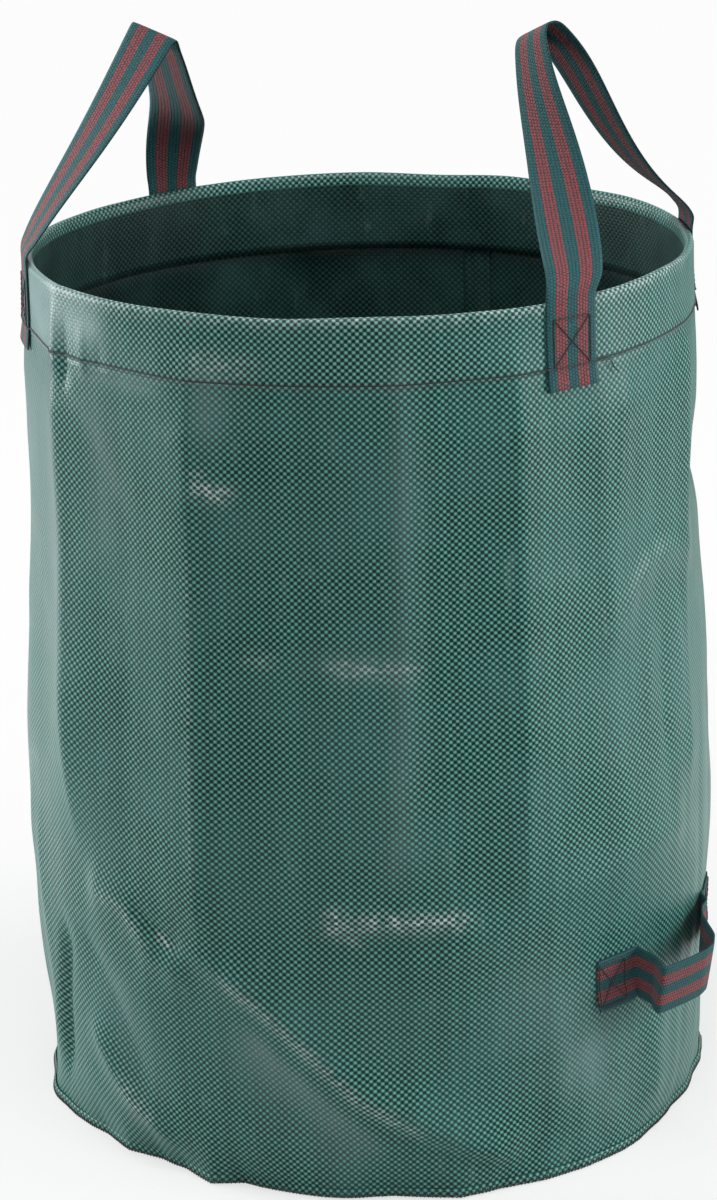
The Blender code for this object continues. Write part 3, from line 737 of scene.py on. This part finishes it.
def twisted(name, colour, flecks):
    """Twisted sewing thread. u runs once around it and v along it in thicknesses."""
    made, tree, shader = started(name, {"Sheen Weight": 0.2, "Specular IOR Level": 0.3})
    place, u, v = weave_places(tree)
    strands = ribbed(tree, calc(tree, "MULTIPLY_ADD", u, 2.0, calc(tree, "MULTIPLY", v, 0.45)))
    cloudy = noise(tree, place, 2.0, 0.6)
    shade = blended(tree, ranged(tree, cloudy, 0.45, 0.75, 0.0, 0.5), colour, flecks)
    # Painted shade in the grooves between the twisted strands
    shade = blended(tree, calc(tree, "MULTIPLY_ADD", strands, -0.6, 0.6), shade, (0.004, 0.004, 0.005, 1.0))
    surfaced(tree, shader, shade, calc(tree, "MULTIPLY_ADD", cloudy, 0.2, 0.6), strands, 0.6, 0.0002)
    return made


def strip_plastic(name):
    """Dark moulded strip with fine lengthwise drag marks."""
    made, tree, shader = started(name, {"Specular IOR Level": 0.4})
    drag = noise(tree, put(tree, "TexCoord").outputs["Object"], 12.0, 12.0, 4.0, scale=9.0)
    colour = blended(tree, drag, (0.030, 0.030, 0.032, 1.0), (0.062, 0.062, 0.064, 1.0))
    surfaced(tree, shader, colour, calc(tree, "MULTIPLY_ADD", drag, 0.25, 0.30), drag, 0.2, 0.0002)
    return made


CLOTH_OUTSIDE = woven("cloth_outside", (0.330, 0.560, 0.500, 1.0), (0.060, 0.290, 0.245, 1.0),
                      (0.000, 0.014, 0.012, 1.0), 0.36, (0.165, 0.250, 0.252, 1.0))
# A darker copy of the outside cloth: painted shade for the cloth's inner faces, the base and the seam's
# turning
CLOTH_INSIDE_SHADED = woven("cloth_inside_painted_shade", (0.040, 0.110, 0.095, 1.0), (0.014, 0.070, 0.060, 1.0),
                     (0.000, 0.006, 0.005, 1.0), 0.50, (0.060, 0.090, 0.090, 1.0))
# A paler copy of the outside cloth: painted light on the hem
CLOTH_HEM_LIT = woven("cloth_hem_painted_light", (0.400, 0.620, 0.570, 1.0), (0.085, 0.320, 0.275, 1.0),
                  (0.000, 0.016, 0.014, 1.0), 0.36, (0.235, 0.345, 0.345, 1.0))
WEBBING = striped("webbing")
DARK_THREAD = twisted("dark_thread", (0.014, 0.014, 0.017, 1.0), (0.045, 0.045, 0.050, 1.0))
EDGE_THREAD = twisted("edge_thread", (0.046, 0.056, 0.052, 1.0), (0.130, 0.150, 0.140, 1.0))
HOOP_PLASTIC = strip_plastic("hoop_plastic")

COLUMN_ANGLES = SEAM + np.arange(COLUMNS) * 360.0 / COLUMNS
COLUMN_TAPES = np.arange(COLUMNS + 1) * TAPES_ROUND / COLUMNS


def mark_glints_and_sheen(made, heights):
    """Marks the points of the outer rows with how much painted glint and painted sheen the cloth gets there.
    """
    for name, lines in (("glint_painted", PAINTED_GLINTS), ("sheen_painted", PAINTED_SHEEN)):
        shown = sum(crease(COLUMN_ANGLES[None, :], np.asarray(heights)[:, None], *line) for line in lines)
        values = np.zeros(len(made.data.vertices))
        values[:shown.size] = np.clip(shown, 0.0, 1.0).ravel()
        made.data.attributes.new(name, "FLOAT", "POINT").data.foreach_set("value", values)


def finish(made, materials):
    """Dresses a piece."""
    for material in materials:
        made.data.materials.append(material)


# Wall

def make_wall():
    """The creased cloth from the foot to the hem's line, with its inner face and its top edge."""
    heights = WALL_BOTTOM + (HEM_LINE - WALL_BOTTOM) * np.linspace(0, 1, WALL_ROWS)
    outer = skin(COLUMN_ANGLES[None, :], heights[:, None])
    top = HEM_LINE + TOP_EDGE_RISE
    rows = [around(outer, COLUMN_ANGLES, heights[:, None]),
            around(outer[-1:] - TOP_EDGE_IN, COLUMN_ANGLES, top)]
    levels = [top]
    inside = np.linspace(0, WALL_ROWS - 1, INSIDE_ROWS).round().astype(int)
    for k in range(INSIDE_ROWS - 1, -1, -1):
        low = inside[max(k - 1, 0)]
        high = inside[min(k + 1, INSIDE_ROWS - 1)]
        turned_in = TOP_EDGE_INSIDE if k == INSIDE_ROWS - 1 else 0.0
        level = heights[inside[k]] + turned_in
        radius = outer[low:high + 1].min(axis=0) - CLOTH - turned_in
        rows.append(around(radius, COLUMN_ANGLES, level)[None])
        levels.append(level)
    levels = np.concatenate([heights, levels, heights[:1]])
    wall = ring("bag_wall", np.concatenate(rows), COLUMN_TAPES, levels / TAPE_HEIGHT, WALL_ROWS + 1)
    mark_glints_and_sheen(wall, heights)
    finish(wall, [CLOTH_OUTSIDE, CLOTH_INSIDE_SHADED])
    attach(wall, "body")
    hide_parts("wall_panel")
    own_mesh(wall)
    return wall


def make_seam():
    """The side seam: its allowance inside the wall and its row of thread outside."""
    heights = np.linspace(SEAM_FOOT, SEAM_TOP, 150)
    across = np.linspace(-SEAM_HALF_WIDTH, SEAM_HALF_WIDTH, 9)
    angles = SEAM + np.degrees(across / RIM_RADIUS)
    near = np.min([skin(angles[None, :], np.clip(heights + off, *SEAM_HEIGHTS)[:, None])
                   for off in np.linspace(-SEAM_CLEARS, SEAM_CLEARS, 9)], axis=0)
    near = np.minimum(near, near.mean(axis=1, keepdims=True)) - CLOTH - SKIN_GAP
    outer = around(near, angles, heights[:, None])
    inner = around(near - SEAM_THICKNESS * CLOTH, angles, heights[:, None])
    allowance = band("side_seam_turning", outer, inner, across / TAPE_WIDTH, heights / TAPE_HEIGHT)
    finish(allowance, [CLOTH_INSIDE_SHADED])
    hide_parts("side_seam_allowance")

    heights = np.linspace(SEAM_THREAD_FOOT, SEAM_TOP, 700)
    line = around(skin(SEAM, heights) + LAID_OUT, SEAM, heights)
    outward = np.repeat(around(1.0, SEAM, 0.0)[None], len(line), axis=0)
    thread = tube("side_seam_thread", [stitched(line, outward)], THREAD)
    finish(thread, [DARK_THREAD])
    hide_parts("side_seam_stitching")
    for made in (allowance, thread):
        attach(made, "body")
        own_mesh(made)
    return allowance, thread


# Base

def make_base():
    """The round bottom, a closed panel that rises a little and puckers inside its sewn edge."""
    edge = skin(COLUMN_ANGLES, WALL_BOTTOM) - CLOTH - SKIN_GAP
    shares = np.concatenate([np.linspace(0.01, 0.95, 24), [1.0]])[:, None]
    puckers = rippled(COLUMN_ANGLES[None, :], shares * RIM_HEIGHT, BASE_PUCKERS)
    fall = smooth((1 - shares) / PUCKERS_EASE)
    faces = []
    for (height, rise), share in ((BASE_TOP, 1), (BASE_UNDER, PUCKERS_UNDER)):
        faces.append(around(shares * edge, COLUMN_ANGLES, height + (rise + share * puckers) * fall))
    grid = np.concatenate([faces[0], faces[1][::-1]])
    rows = len(grid)
    r, c = grid_faces(rows, COLUMNS, False, True)
    faces = (r * COLUMNS + c % COLUMNS).tolist()
    uv = (grid[r, c % COLUMNS][..., :2] / TAPE_WIDTH).reshape(-1, 2).tolist()
    for row, order in ((0, 1), (rows - 1, -1)):
        faces.append([row * COLUMNS + k for k in range(COLUMNS)][::order])
        uv += (grid[row, ::order, :2] / TAPE_WIDTH).tolist()
    base = piece("bag_base", grid, faces, uv)
    finish(base, [CLOTH_INSIDE_SHADED])
    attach(base, "body")
    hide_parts("base_panel")
    return base


def make_base_edge():
    """The edge where the base is sewn to the wall."""
    foot = skin(COLUMN_ANGLES, WALL_BOTTOM) * EDGE_FOLLOWS_FOOT
    rows = [around(skin(COLUMN_ANGLES, z) * (1 - EDGE_FOLLOWS_FOOT) + foot + out, COLUMN_ANGLES, z)
            for out, z in EDGE_SECTION]
    levels = np.array([z for _, z in EDGE_SECTION] + [EDGE_SECTION[0][1]]) / TAPE_HEIGHT
    lip = ring("base_edge", np.array(rows), COLUMN_TAPES, levels)
    finish(lip, [CLOTH_OUTSIDE])
    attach(lip, "body")
    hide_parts("base_binding")
    return lip


def make_overlock():
    """The thread whipped around the sewn edge of the base, as one closed run of loops."""
    points = np.arange(OVERLOCK_LOOPS * OVERLOCK_STEPS)
    phase = points * math.tau / OVERLOCK_STEPS
    angles = SEAM + points * 360.0 / len(points)
    foot = skin(COLUMN_ANGLES, WALL_BOTTOM)
    middle = np.interp(angles, np.append(COLUMN_ANGLES, SEAM + 360.0), np.append(foot, foot[0]))
    radius = middle + OVERLOCK_OUT + OVERLOCK_OUT * np.cos(phase)
    up = OVERLOCK_UP * (1 + rippled(angles, 0.0, OVERLOCK_JITTER)) * np.sin(phase)
    line = around(radius, angles, np.maximum(OVERLOCK_HEIGHT + up, THREAD))
    outward = unit(around(np.cos(phase), angles, np.sin(phase)))
    thread = tube("base_overlock", [(line, outward, True)], THREAD, 5)
    finish(thread, [EDGE_THREAD])
    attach(thread, "body")
    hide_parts("base_stitching")
    return thread


# Mouth

def make_hem():
    """The top of the cloth, folded in over the hoop and sewn down."""
    rises = rippled(COLUMN_ANGLES, 0.0, HEM_RISES)
    fold_height = RIM_HEIGHT - RIM_FOLD
    top = skin(COLUMN_ANGLES, fold_height) + HEM_OUT
    middle = top - RIM_FOLD
    outside = np.linspace(HEM_LINE, fold_height, 12)
    lining = np.linspace(fold_height, HEM_LINE - HEM_TURNING, 10)
    arc = np.linspace(0, math.pi, 9)[1:-1]

    def row(radius, z):
        return around(radius, COLUMN_ANGLES, z + rises * smooth((z - HEM_RISES_FROM) / HEM_RISES_OVER))

    def over_hoop(radius, turns):
        return [row(middle + radius * math.cos(a), fold_height + radius * math.sin(a)) for a in turns]

    def lining_radius(z):
        ripple = rippled(COLUMN_ANGLES, z, LINING_RIPPLES)
        return top - 2 * RIM_FOLD + ripple * smooth((fold_height - z) / LINING_RIPPLES_OVER) - LINING_IN

    rows = [row(skin(COLUMN_ANGLES, z) + HEM_OUT, z) for z in outside]
    rows += over_hoop(RIM_FOLD, arc)
    rows += [row(lining_radius(z), z) for z in lining]
    rows += [row(lining_radius(z) + CLOTH, z) for z in lining[::-1]]
    rows += over_hoop(RIM_FOLD - CLOTH, arc[::-1])
    rows += [row(skin(COLUMN_ANGLES, z) + HEM_OUT - CLOTH, z) for z in outside[::-1]]
    over = fold_height + RIM_FOLD * math.pi + fold_height - lining
    half = [outside, fold_height + RIM_FOLD * arc, over]
    levels = np.concatenate(half + [line[::-1] for line in half[::-1]] + [[HEM_LINE]])
    inside_from = len(outside) + len(arc) + 1
    hem = ring("bag_hem", np.array(rows), COLUMN_TAPES, levels / TAPE_HEIGHT, inside_from)
    mark_glints_and_sheen(hem, list(outside) + [fold_height] * len(arc))
    finish(hem, [CLOTH_HEM_LIT, CLOTH_INSIDE_SHADED])
    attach(hem, "rim")
    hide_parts("top_hem")
    return hem


def tab_lift(angle):
    """How far the hem's thread is raised where it runs over a strap's sewn end."""
    half = math.degrees(STRAP_WIDTH / 2 / RIM_RADIUS)
    lift = 0.0
    for tab in TAB_CENTRES:
        off = np.abs((angle - tab + 180.0) % 360.0 - 180.0)
        lift = lift + smooth((half + TAB_CLIMB - off) / TAB_CLIMB)
    return lift * (STRAP_THICKNESS + SKIN_GAP)


def make_hem_thread():
    """The row of thread around the hem, and its loose end."""
    angles = SEAM + np.arange(HEM_THREAD_POINTS) * 360.0 / HEM_THREAD_POINTS
    z = HEM_THREAD_HEIGHT + rippled(angles, 0.0, HEM_THREAD_WAVER)
    radius = skin(angles, z) + HEM_OUT + LAID_OUT + tab_lift(angles)
    runs = [stitched(around(radius, angles, z), around(1.0, angles, 0.0), True)]

    t = np.linspace(0, len(LOOSE_END) - 1, 30)
    angle, z, off = (np.interp(t, range(len(LOOSE_END)), values) for values in zip(*LOOSE_END))
    line = around(over_cloth(angle, z, folded_by_rim(z)) + off, angle, z)
    line[1:-1] = (line[:-2] + line[1:-1] + line[2:]) / 3
    runs.append((line, around(1.0, angle, 0.0), False))
    thread = tube("hem_thread", runs, THREAD)
    finish(thread, [DARK_THREAD])
    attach(thread, "rim")
    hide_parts("hem_stitching")
    return thread


# Carrying straps

def curve(start, leave, end, arrive, bow):
    """Points and directions of a smooth curve that leaves its start and meets its end as told."""
    u = np.linspace(0, 1, LEG_POINTS)[:, None]
    u2 = u * u
    u3 = u2 * u
    place = ((2 * u3 - 3 * u2 + 1) * start + (u3 - 2 * u2 + u) * leave
             + (3 * u2 - 2 * u3) * end + (u3 - u2) * arrive + 16 * (u - u2) ** 2 * bow)
    return place, unit(np.gradient(place, axis=0))


def strap_leg(shape, leg, sign, crown_across):
    """One leg of a loop: its middle line and its direction across, from the rim to the crown."""
    half = math.radians(TAB_ANGLE)
    mirror = np.array([1.0, sign, 1.0])
    start = np.array([LOOP_RADIUS * math.cos(half), -LOOP_RADIUS * math.sin(half), LOOP_HEIGHT]) * mirror
    across = np.array([math.sin(half), math.cos(half), 0.0]) * mirror
    crown = crown_place(shape)
    up = np.array([0.0, 0.0, 1.0])
    rising = unit(up - crown_across * (up @ crown_across))
    level = np.cross(rising, crown_across)
    level = level if level[1] > 0 else -level
    lean = math.radians(leg["lean"])
    arrive = leg["pull"] * (math.cos(lean) * rising + sign * math.sin(lean) * level)
    leave = np.array(leg["leave"]) * mirror
    place, travel = curve(start, leave, crown, arrive, np.array(leg["bow"]) * mirror)
    slant = float(across @ travel[0])
    carried = [unit(across - travel[0] * slant)]
    for direction in travel[1:]:
        carried.append(unit(carried[-1] - direction * (carried[-1] @ direction)))
    twist = math.atan2(np.cross(carried[-1], crown_across) @ travel[-1], carried[-1] @ crown_across)
    carried = np.array(carried)
    u = np.linspace(0, 1, LEG_POINTS)[:, None]
    turn = twist * smooth(u ** leg["twist"])
    width = carried * np.cos(turn) + np.cross(travel, carried) * np.sin(turn)
    shear = slant * (1 - smooth(u / LEG_SETTLE))
    width = unit(width * math.sqrt(1 - slant * slant) + travel * shear)
    return place, width


def softened(rows, times):
    """Rounds a run of rows, keeping its two ends."""
    for _ in range(times):
        rows[1:-1] = (rows[:-2] + 2 * rows[1:-1] + rows[2:]) / 4
    return rows


def resampled(step, *lines):
    """The lines at even steps along the first one."""
    run = lengths_along(lines[0])
    even = np.linspace(0, run[-1], round(run[-1] / step) + 1)
    return even, [np.stack([np.interp(even, run, line[:, k]) for k in range(3)], axis=1) for line in lines]


def evened(near, far, held, step, times):
    """Works the two edges of webbing until it lies flat across, keeps its width and runs smoothly."""
    slant = math.hypot(step, STRAP_WIDTH)
    free = RUNG_EASE * ~held[:, None]

    def pull(a, b, length):
        gap = b - a
        return gap * (1 - length / np.linalg.norm(gap, axis=1, keepdims=True)) / 2

    for _ in range(times):
        rung = pull(near, far, STRAP_WIDTH)
        moves = [rung, -rung]
        for line, move in ((near, moves[0]), (far, moves[1])):
            along = pull(line[:-1], line[1:], step)
            move[:-1] += along
            move[1:] -= along
            move[1:-1] += WEBBING_STIFFNESS * (line[:-2] - 2 * line[1:-1] + line[2:]) / 2
        for first, last, a, b in ((near, far, 0, 1), (far, near, 1, 0)):
            cross = pull(first[:-1], last[1:], slant)
            moves[a][:-1] += cross
            moves[b][1:] -= cross
        near = near + moves[0] * free
        far = far + moves[1] * free
    return near, far


def strap_band(name, surface, across, along, width):
    """Webbing of real thickness around a grid of points on its middle surface."""
    tall = unit(np.gradient(surface, axis=0))
    wide = unit(np.gradient(surface, axis=1))
    out = unit(np.cross(wide, tall))
    edge = np.abs(across) / (width / 2)
    half = STRAP_THICKNESS / 2 * (1 - STRAP_EDGE_THINNING * edge ** 8)
    offset = out * half[None, :, None]
    made = band(name, surface + offset, surface - offset, across / width + 0.5, along / width)
    finish(made, [WEBBING])
    return made


def crown_place(shape):
    """Where the middle of a loop's top fold stands."""
    return np.array(shape["crown"]) + (0.0, 0.0, RIM_HEIGHT)


def strap_line(shape):
    """A strap's middle line from its front end to its rear end, and its direction across."""
    tilt = math.radians(shape["tilt"])
    turn = math.radians(shape["turn"])
    crown_across = np.array([math.cos(tilt) * math.cos(turn), math.cos(tilt) * math.sin(turn),
                             math.sin(tilt)])
    front, front_across = strap_leg(shape, shape["front"], 1, crown_across)
    rear, rear_across = strap_leg(shape, shape["rear"], -1, crown_across)
    half_angle = math.radians(TAB_ANGLE)
    heights = np.linspace(TAB_LOW, RIM_HEIGHT, 30)
    radius = np.interp(heights, [TAB_LOW, RIM_HEIGHT], [RIM_RADIUS + out for out in TAB_OUT])
    places = []
    widths = []
    for sign in (-1, 1):
        places.append(standing(radius, sign * TAB_ANGLE, heights))
        across = np.array([math.sin(half_angle), -sign * math.cos(half_angle), 0.0])
        widths.append(np.repeat(across[None], len(heights), axis=0))
    middle = np.concatenate([places[0], front, rear[::-1][1:], places[1][::-1]])
    return middle, np.concatenate([widths[0], front_across, rear_across[::-1][1:], widths[1][::-1]])


def strap_edges(shape):
    """Even steps along a strap, and its two edges there, worked until they run like webbing."""
    middle, across = strap_line(shape)
    half = STRAP_WIDTH / 2
    along, (middle, near, far) = resampled(RUNG_STEP, middle, middle + across * half, middle - across * half)
    at_crown = along[np.linalg.norm(middle - crown_place(shape), axis=1).argmin()]
    held = (np.minimum(along, along[-1] - along) < SEWN_RUN) | (np.abs(along - at_crown) < CROWN_HELD)
    near, far = evened(near, far, held, along[1], shape["evened"])
    along, (middle, near, far) = resampled(STRAP_STEP, (near + far) / 2, near, far)
    return along, softened(near, STRAP_SOFTNESS), softened(far, STRAP_SOFTNESS)


def laid_on_hem(surface, along, offsets, side):
    """The strap's surface with its two sewn ends laid on the hem and the wall."""
    z = surface[..., 2]
    sewn_side = np.where(np.arange(len(along)) < len(along) / 2, -1.0, 1.0)[:, None]
    bag_angle = sewn_side * (TAB_ANGLE - np.degrees(offsets / RIM_RADIUS)[None, :])
    seen_angle = np.where(side > 0, bag_angle, 180.0 - bag_angle) - FRONT
    low = np.minimum(z, RIM_HEIGHT - RIM_FOLD)
    radius = over_cloth(seen_angle, low, folded_by_rim(low)) + HEM_OUT + SKIN_GAP + STRAP_THICKNESS / 2
    sewn = standing(radius, bag_angle, z)
    near_end = np.minimum(along, along[-1] - along)[:, None, None]
    hold = 1 - smooth((z[..., None] - HOLD_TOP) / HOLD_OVER)
    hold = np.where(near_end < HOLD_WITHIN, hold, 0.0)
    return surface * (1 - hold) + sewn * hold


def carrying_strap(name, side, shape):
    """One length of webbing: sewn up the front of the hem, over its crown and down to its rear end."""
    along, near, far = strap_edges(shape)
    across = unit(near - far)
    offsets = np.linspace(-STRAP_WIDTH / 2, STRAP_WIDTH / 2, STRAP_COLUMNS)
    surface = ((near + far) / 2)[:, None] + across[:, None] * offsets[None, :, None]
    surface = laid_on_hem(surface, along, offsets, side)
    surface[..., 0] *= side
    strap = strap_band(name + "_strap", surface, offsets, along, STRAP_WIDTH)
    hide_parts(name + "_loop", name + "_front_tab", name + "_rear_tab")
    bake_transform(strap)

    for end, sign in (("front", -1), ("rear", 1)):
        box = sewn_box(f"{name}_{end}_thread", side, sign)
        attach(box, "rim")
        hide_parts(f"{name}_{end}_stitching")


def sewn_thread(name, lines):
    """Thread sewn through webbing, along lines of (radius of the webbing's face, angle, height)."""
    runs = [stitched(around(radius + SEWN_OUT, angle, z), around(1.0, angle, 0.0))
            for radius, angle, z in lines]
    thread = tube(name, runs, THREAD)
    finish(thread, [DARK_THREAD])
    return thread


def crossed_box(first, last, low, high, closed):
    """The sides and the cross of a sewn box, each as the place and height of its two ends."""
    sides = [(first, low, first, high), (first, high, last, high), (last, high, last, low)]
    if closed:
        sides.append((last, low, first, low))
    return sides + [(first, low, last, high), (first, high, last, low)]


def sewn_box(name, side, sign):
    """The upper three sides of a sewn box with a cross; the row of hem thread closes it below."""
    lines = []
    for x0, z0, x1, z1 in crossed_box(-BOX_HALF, BOX_HALF, BOX_LOW, BOX_HIGH, False):
        count = max(8, round(math.hypot(x1 - x0, z1 - z0) / BOX_STEP))
        z = np.linspace(z0, z1, count)
        bag_angle = sign * TAB_ANGLE + np.degrees(np.linspace(x0, x1, count) / RIM_RADIUS)
        angle = (bag_angle if side > 0 else 180.0 - bag_angle) - FRONT
        lines.append((skin(angle, z) + HEM_OUT + SKIN_GAP + STRAP_THICKNESS, angle, z))
    return sewn_thread(name, lines)


# Tipping strap

def tipping_line(root):
    """Even steps along the low strap, and its middle line there."""
    front, rear = (standing(root, np.linspace(inner, outer, 20), TIPPING_HEIGHT)
                   for inner, outer in TIPPING_TABS.values())
    loop = [(x, y, TIPPING_HEIGHT) for x, y in TIPPING_PATH]
    along, (middle,) = resampled(TIPPING_STEP, np.concatenate([front[::-1], loop, rear]))
    return along, softened(middle, TIPPING_SOFTNESS)


def tipping_strap():
    """The low strap: sewn at both ends, folded out and back at its front and bowed round to its rear."""
    root = float(swell(np.array(TIPPING_HEIGHT))) + SKIN_GAP + STRAP_THICKNESS / 2
    along, middle = tipping_line(root)
    offsets = np.linspace(-TIPPING_WIDTH / 2, TIPPING_WIDTH / 2, STRAP_COLUMNS)
    outward = unit(middle * (1.0, 1.0, 0.0))
    clear = np.clip((np.hypot(middle[:, 0], middle[:, 1]) - root) / TIPPING_LEAN_OVER, 0.0, 1.0)
    up = unit(np.array([0.0, 0.0, 1.0]) + TIPPING_LEAN * clear[:, None] * outward)
    surface = middle[:, None] + up[:, None] * offsets[None, :, None]

    # The sewn ends lie on the wall
    bag_angle = np.degrees(np.arctan2(surface[..., 1], surface[..., 0]))
    z = surface[..., 2]
    radius = over_cloth(bag_angle - FRONT, z, z / KEEP) + SKIN_GAP + STRAP_THICKNESS / 2
    sewn = standing(radius, bag_angle, z)
    from_end = np.minimum(along, along[-1] - along)
    inner, outer = TIPPING_TABS["rear"]
    tab_length = math.radians(outer - inner) * root
    hold = 1 - smooth((from_end - tab_length + TIPPING_FREE) / TIPPING_FREE_OVER)[:, None, None]
    surface = (surface * (1 - hold) + sewn * hold)[:, ::-1]
    strap = strap_band("tipping_strap", surface, offsets[::-1], along, TIPPING_WIDTH)
    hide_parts("tipping_handle_loop", "tipping_handle_front_tab", "tipping_handle_rear_tab")
    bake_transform(strap)
    tipping_threads(root)


def tipping_threads(root):
    """A sewn box with a cross on each end of the low strap."""
    half = TIPPING_WIDTH / 2 - TIPPING_BOX_INSET
    for end, (inner, outer) in TIPPING_TABS.items():
        toward = math.copysign(1.0, outer - inner)
        first, last = (outer - toward * math.degrees(inset / root) for inset in TIPPING_BOX_ENDS)
        lines = []
        for a0, z0, a1, z1 in crossed_box(first, last, TIPPING_HEIGHT - half, TIPPING_HEIGHT + half, True):
            angle = np.linspace(a0, a1, 40) - FRONT
            z = np.linspace(z0, z1, 40)
            lines.append((over_cloth(angle, z, z / KEEP) + SKIN_GAP + STRAP_THICKNESS, angle, z))
        thread = sewn_thread(f"tipping_{end}_thread", lines)
        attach(thread, "body")
        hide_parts(f"tipping_handle_{end}_stitching")


wall = make_wall()
seam_turning, seam_thread = make_seam()
base = make_base()
base_edge = make_base_edge()
base_thread = make_overlock()
hem = make_hem()
hem_thread = make_hem_thread()
carrying_strap("right_handle", 1, RIGHT_STRAP)
carrying_strap("left_handle", -1, LEFT_STRAP)
tipping_strap()

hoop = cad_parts["rim_hoop"]
hoop.data.materials.clear()
hoop.data.materials.append(HOOP_PLASTIC)

# Floor, light and camera
FLOOR_HALF = 30.0
FLOOR_DROP = 0.0005
WHITE = (1.0, 1.0, 1.0, 1.0)
LAMP_SIZE = 1.0
LAMP_AIM = 0.32
LAMPS = [
    # name, angle from the front, distance, height, watts
    ("left_softbox", -108.0, 1.9, 0.85, 36.0),
    ("right_softbox", 84.0, 1.9, 0.80, 26.0),
    ("top_softbox", 10.0, 0.7, 2.3, 26.0),
    ("front_fill", -8.0, 2.6, 1.3, 4.0),
]
VIEW_AZIMUTH = math.radians(23.0)
VIEW_ELEVATION = math.radians(17.9638)
VIEW_ROLL = math.radians(-1.4192)
VIEW_DISTANCE = 2.6816
VIEW_LENS = 116.08
VIEW_SIDEWAYS = -0.006
VIEW_HEIGHT = 0.3455
SENSOR = 36.0


def emptied(owner):
    """The cleared nodes of a material or a world."""
    owner.use_nodes = True
    owner.node_tree.nodes.clear()
    return owner.node_tree


def pale_floor():
    """A floor that looks white to the camera away from the bag, and takes the bag's soft shadow."""
    made = bpy.data.materials.new("floor")
    tree = emptied(made)
    paper = put(tree, "BsdfDiffuse", {"Color": (0.82, 0.82, 0.82, 1.0)})
    white = put(tree, "Emission", {"Color": WHITE, "Strength": 1.0})
    place = put(tree, "TexCoord").outputs["Object"]
    away = put(tree, "VectorMath", {0: place}, operation="LENGTH").outputs[1]
    share = calc(tree, "MULTIPLY", put(tree, "LightPath").outputs["Is Camera Ray"],
                 ranged(tree, away, 0.30, 1.10, 0.66, 0.97))
    mixed = put(tree, "MixShader", {0: share, 1: paper.outputs[0], 2: white.outputs[0]})
    put(tree, "OutputMaterial", {0: mixed.outputs[0]})
    return made


def make_floor():
    """The floor just under the bag."""
    mesh = bpy.data.meshes.new("floor")
    shape = bmesh.new()
    bmesh.ops.create_grid(shape, x_segments=2, y_segments=2, size=FLOOR_HALF)
    shape.to_mesh(mesh)
    shape.free()
    floor = placed("floor", mesh)
    floor.location.z = -FLOOR_DROP
    mesh.materials.append(pale_floor())


def make_world():
    """Dim light from all around, seen as white by the camera and in reflections."""
    world = bpy.data.worlds.new("studio")
    tree = emptied(world)
    path = put(tree, "LightPath")
    seen = calc(tree, "MAXIMUM", path.outputs["Is Camera Ray"], path.outputs["Is Glossy Ray"])
    dim = put(tree, "Background", {"Color": WHITE, "Strength": 0.20})
    bright = put(tree, "Background", {"Color": WHITE, "Strength": 1.0})
    mixed = put(tree, "MixShader", {0: seen, 1: dim.outputs[0], 2: bright.outputs[0]})
    put(tree, "OutputWorld", {0: mixed.outputs[0]})
    bpy.context.scene.world = world


def place_lamps():
    """Square soft lamps, each turned to the middle of the bag."""
    for name, angle, distance, height, watts in LAMPS:
        lamp = bpy.data.lights.new(name, "AREA")
        lamp.shape = "SQUARE"
        lamp.size = LAMP_SIZE
        lamp.energy = watts
        place = Vector(around(distance, angle, height).tolist())
        softbox = placed(name, lamp)
        softbox.location = place
        softbox.rotation_euler = (place - Vector((0, 0, LAMP_AIM))).to_track_quat("Z", "Y").to_euler()


def place_camera():
    """The camera, standing as it did for the photograph."""
    across = Vector((math.cos(VIEW_AZIMUTH), math.sin(VIEW_AZIMUTH), 0.0))
    back = Vector((math.sin(VIEW_AZIMUTH) * math.cos(VIEW_ELEVATION),
                   -math.cos(VIEW_AZIMUTH) * math.cos(VIEW_ELEVATION), math.sin(VIEW_ELEVATION)))
    aim = across * VIEW_SIDEWAYS + Vector((0.0, 0.0, VIEW_HEIGHT))
    lens = bpy.data.cameras.new("photo_camera")
    lens.lens = VIEW_LENS
    lens.sensor_width = SENSOR
    facing = Matrix((across, back.cross(across), back)).transposed().to_4x4()
    level = Matrix.Translation(aim + back * VIEW_DISTANCE) @ facing
    camera = placed("photo_camera", lens)
    camera.matrix_world = level @ Matrix.Rotation(VIEW_ROLL, 4, "Z")
    bpy.context.scene.camera = camera


make_floor()
make_world()
place_lamps()
place_camera()
bpy.context.scene.view_settings.view_transform = "Standard"
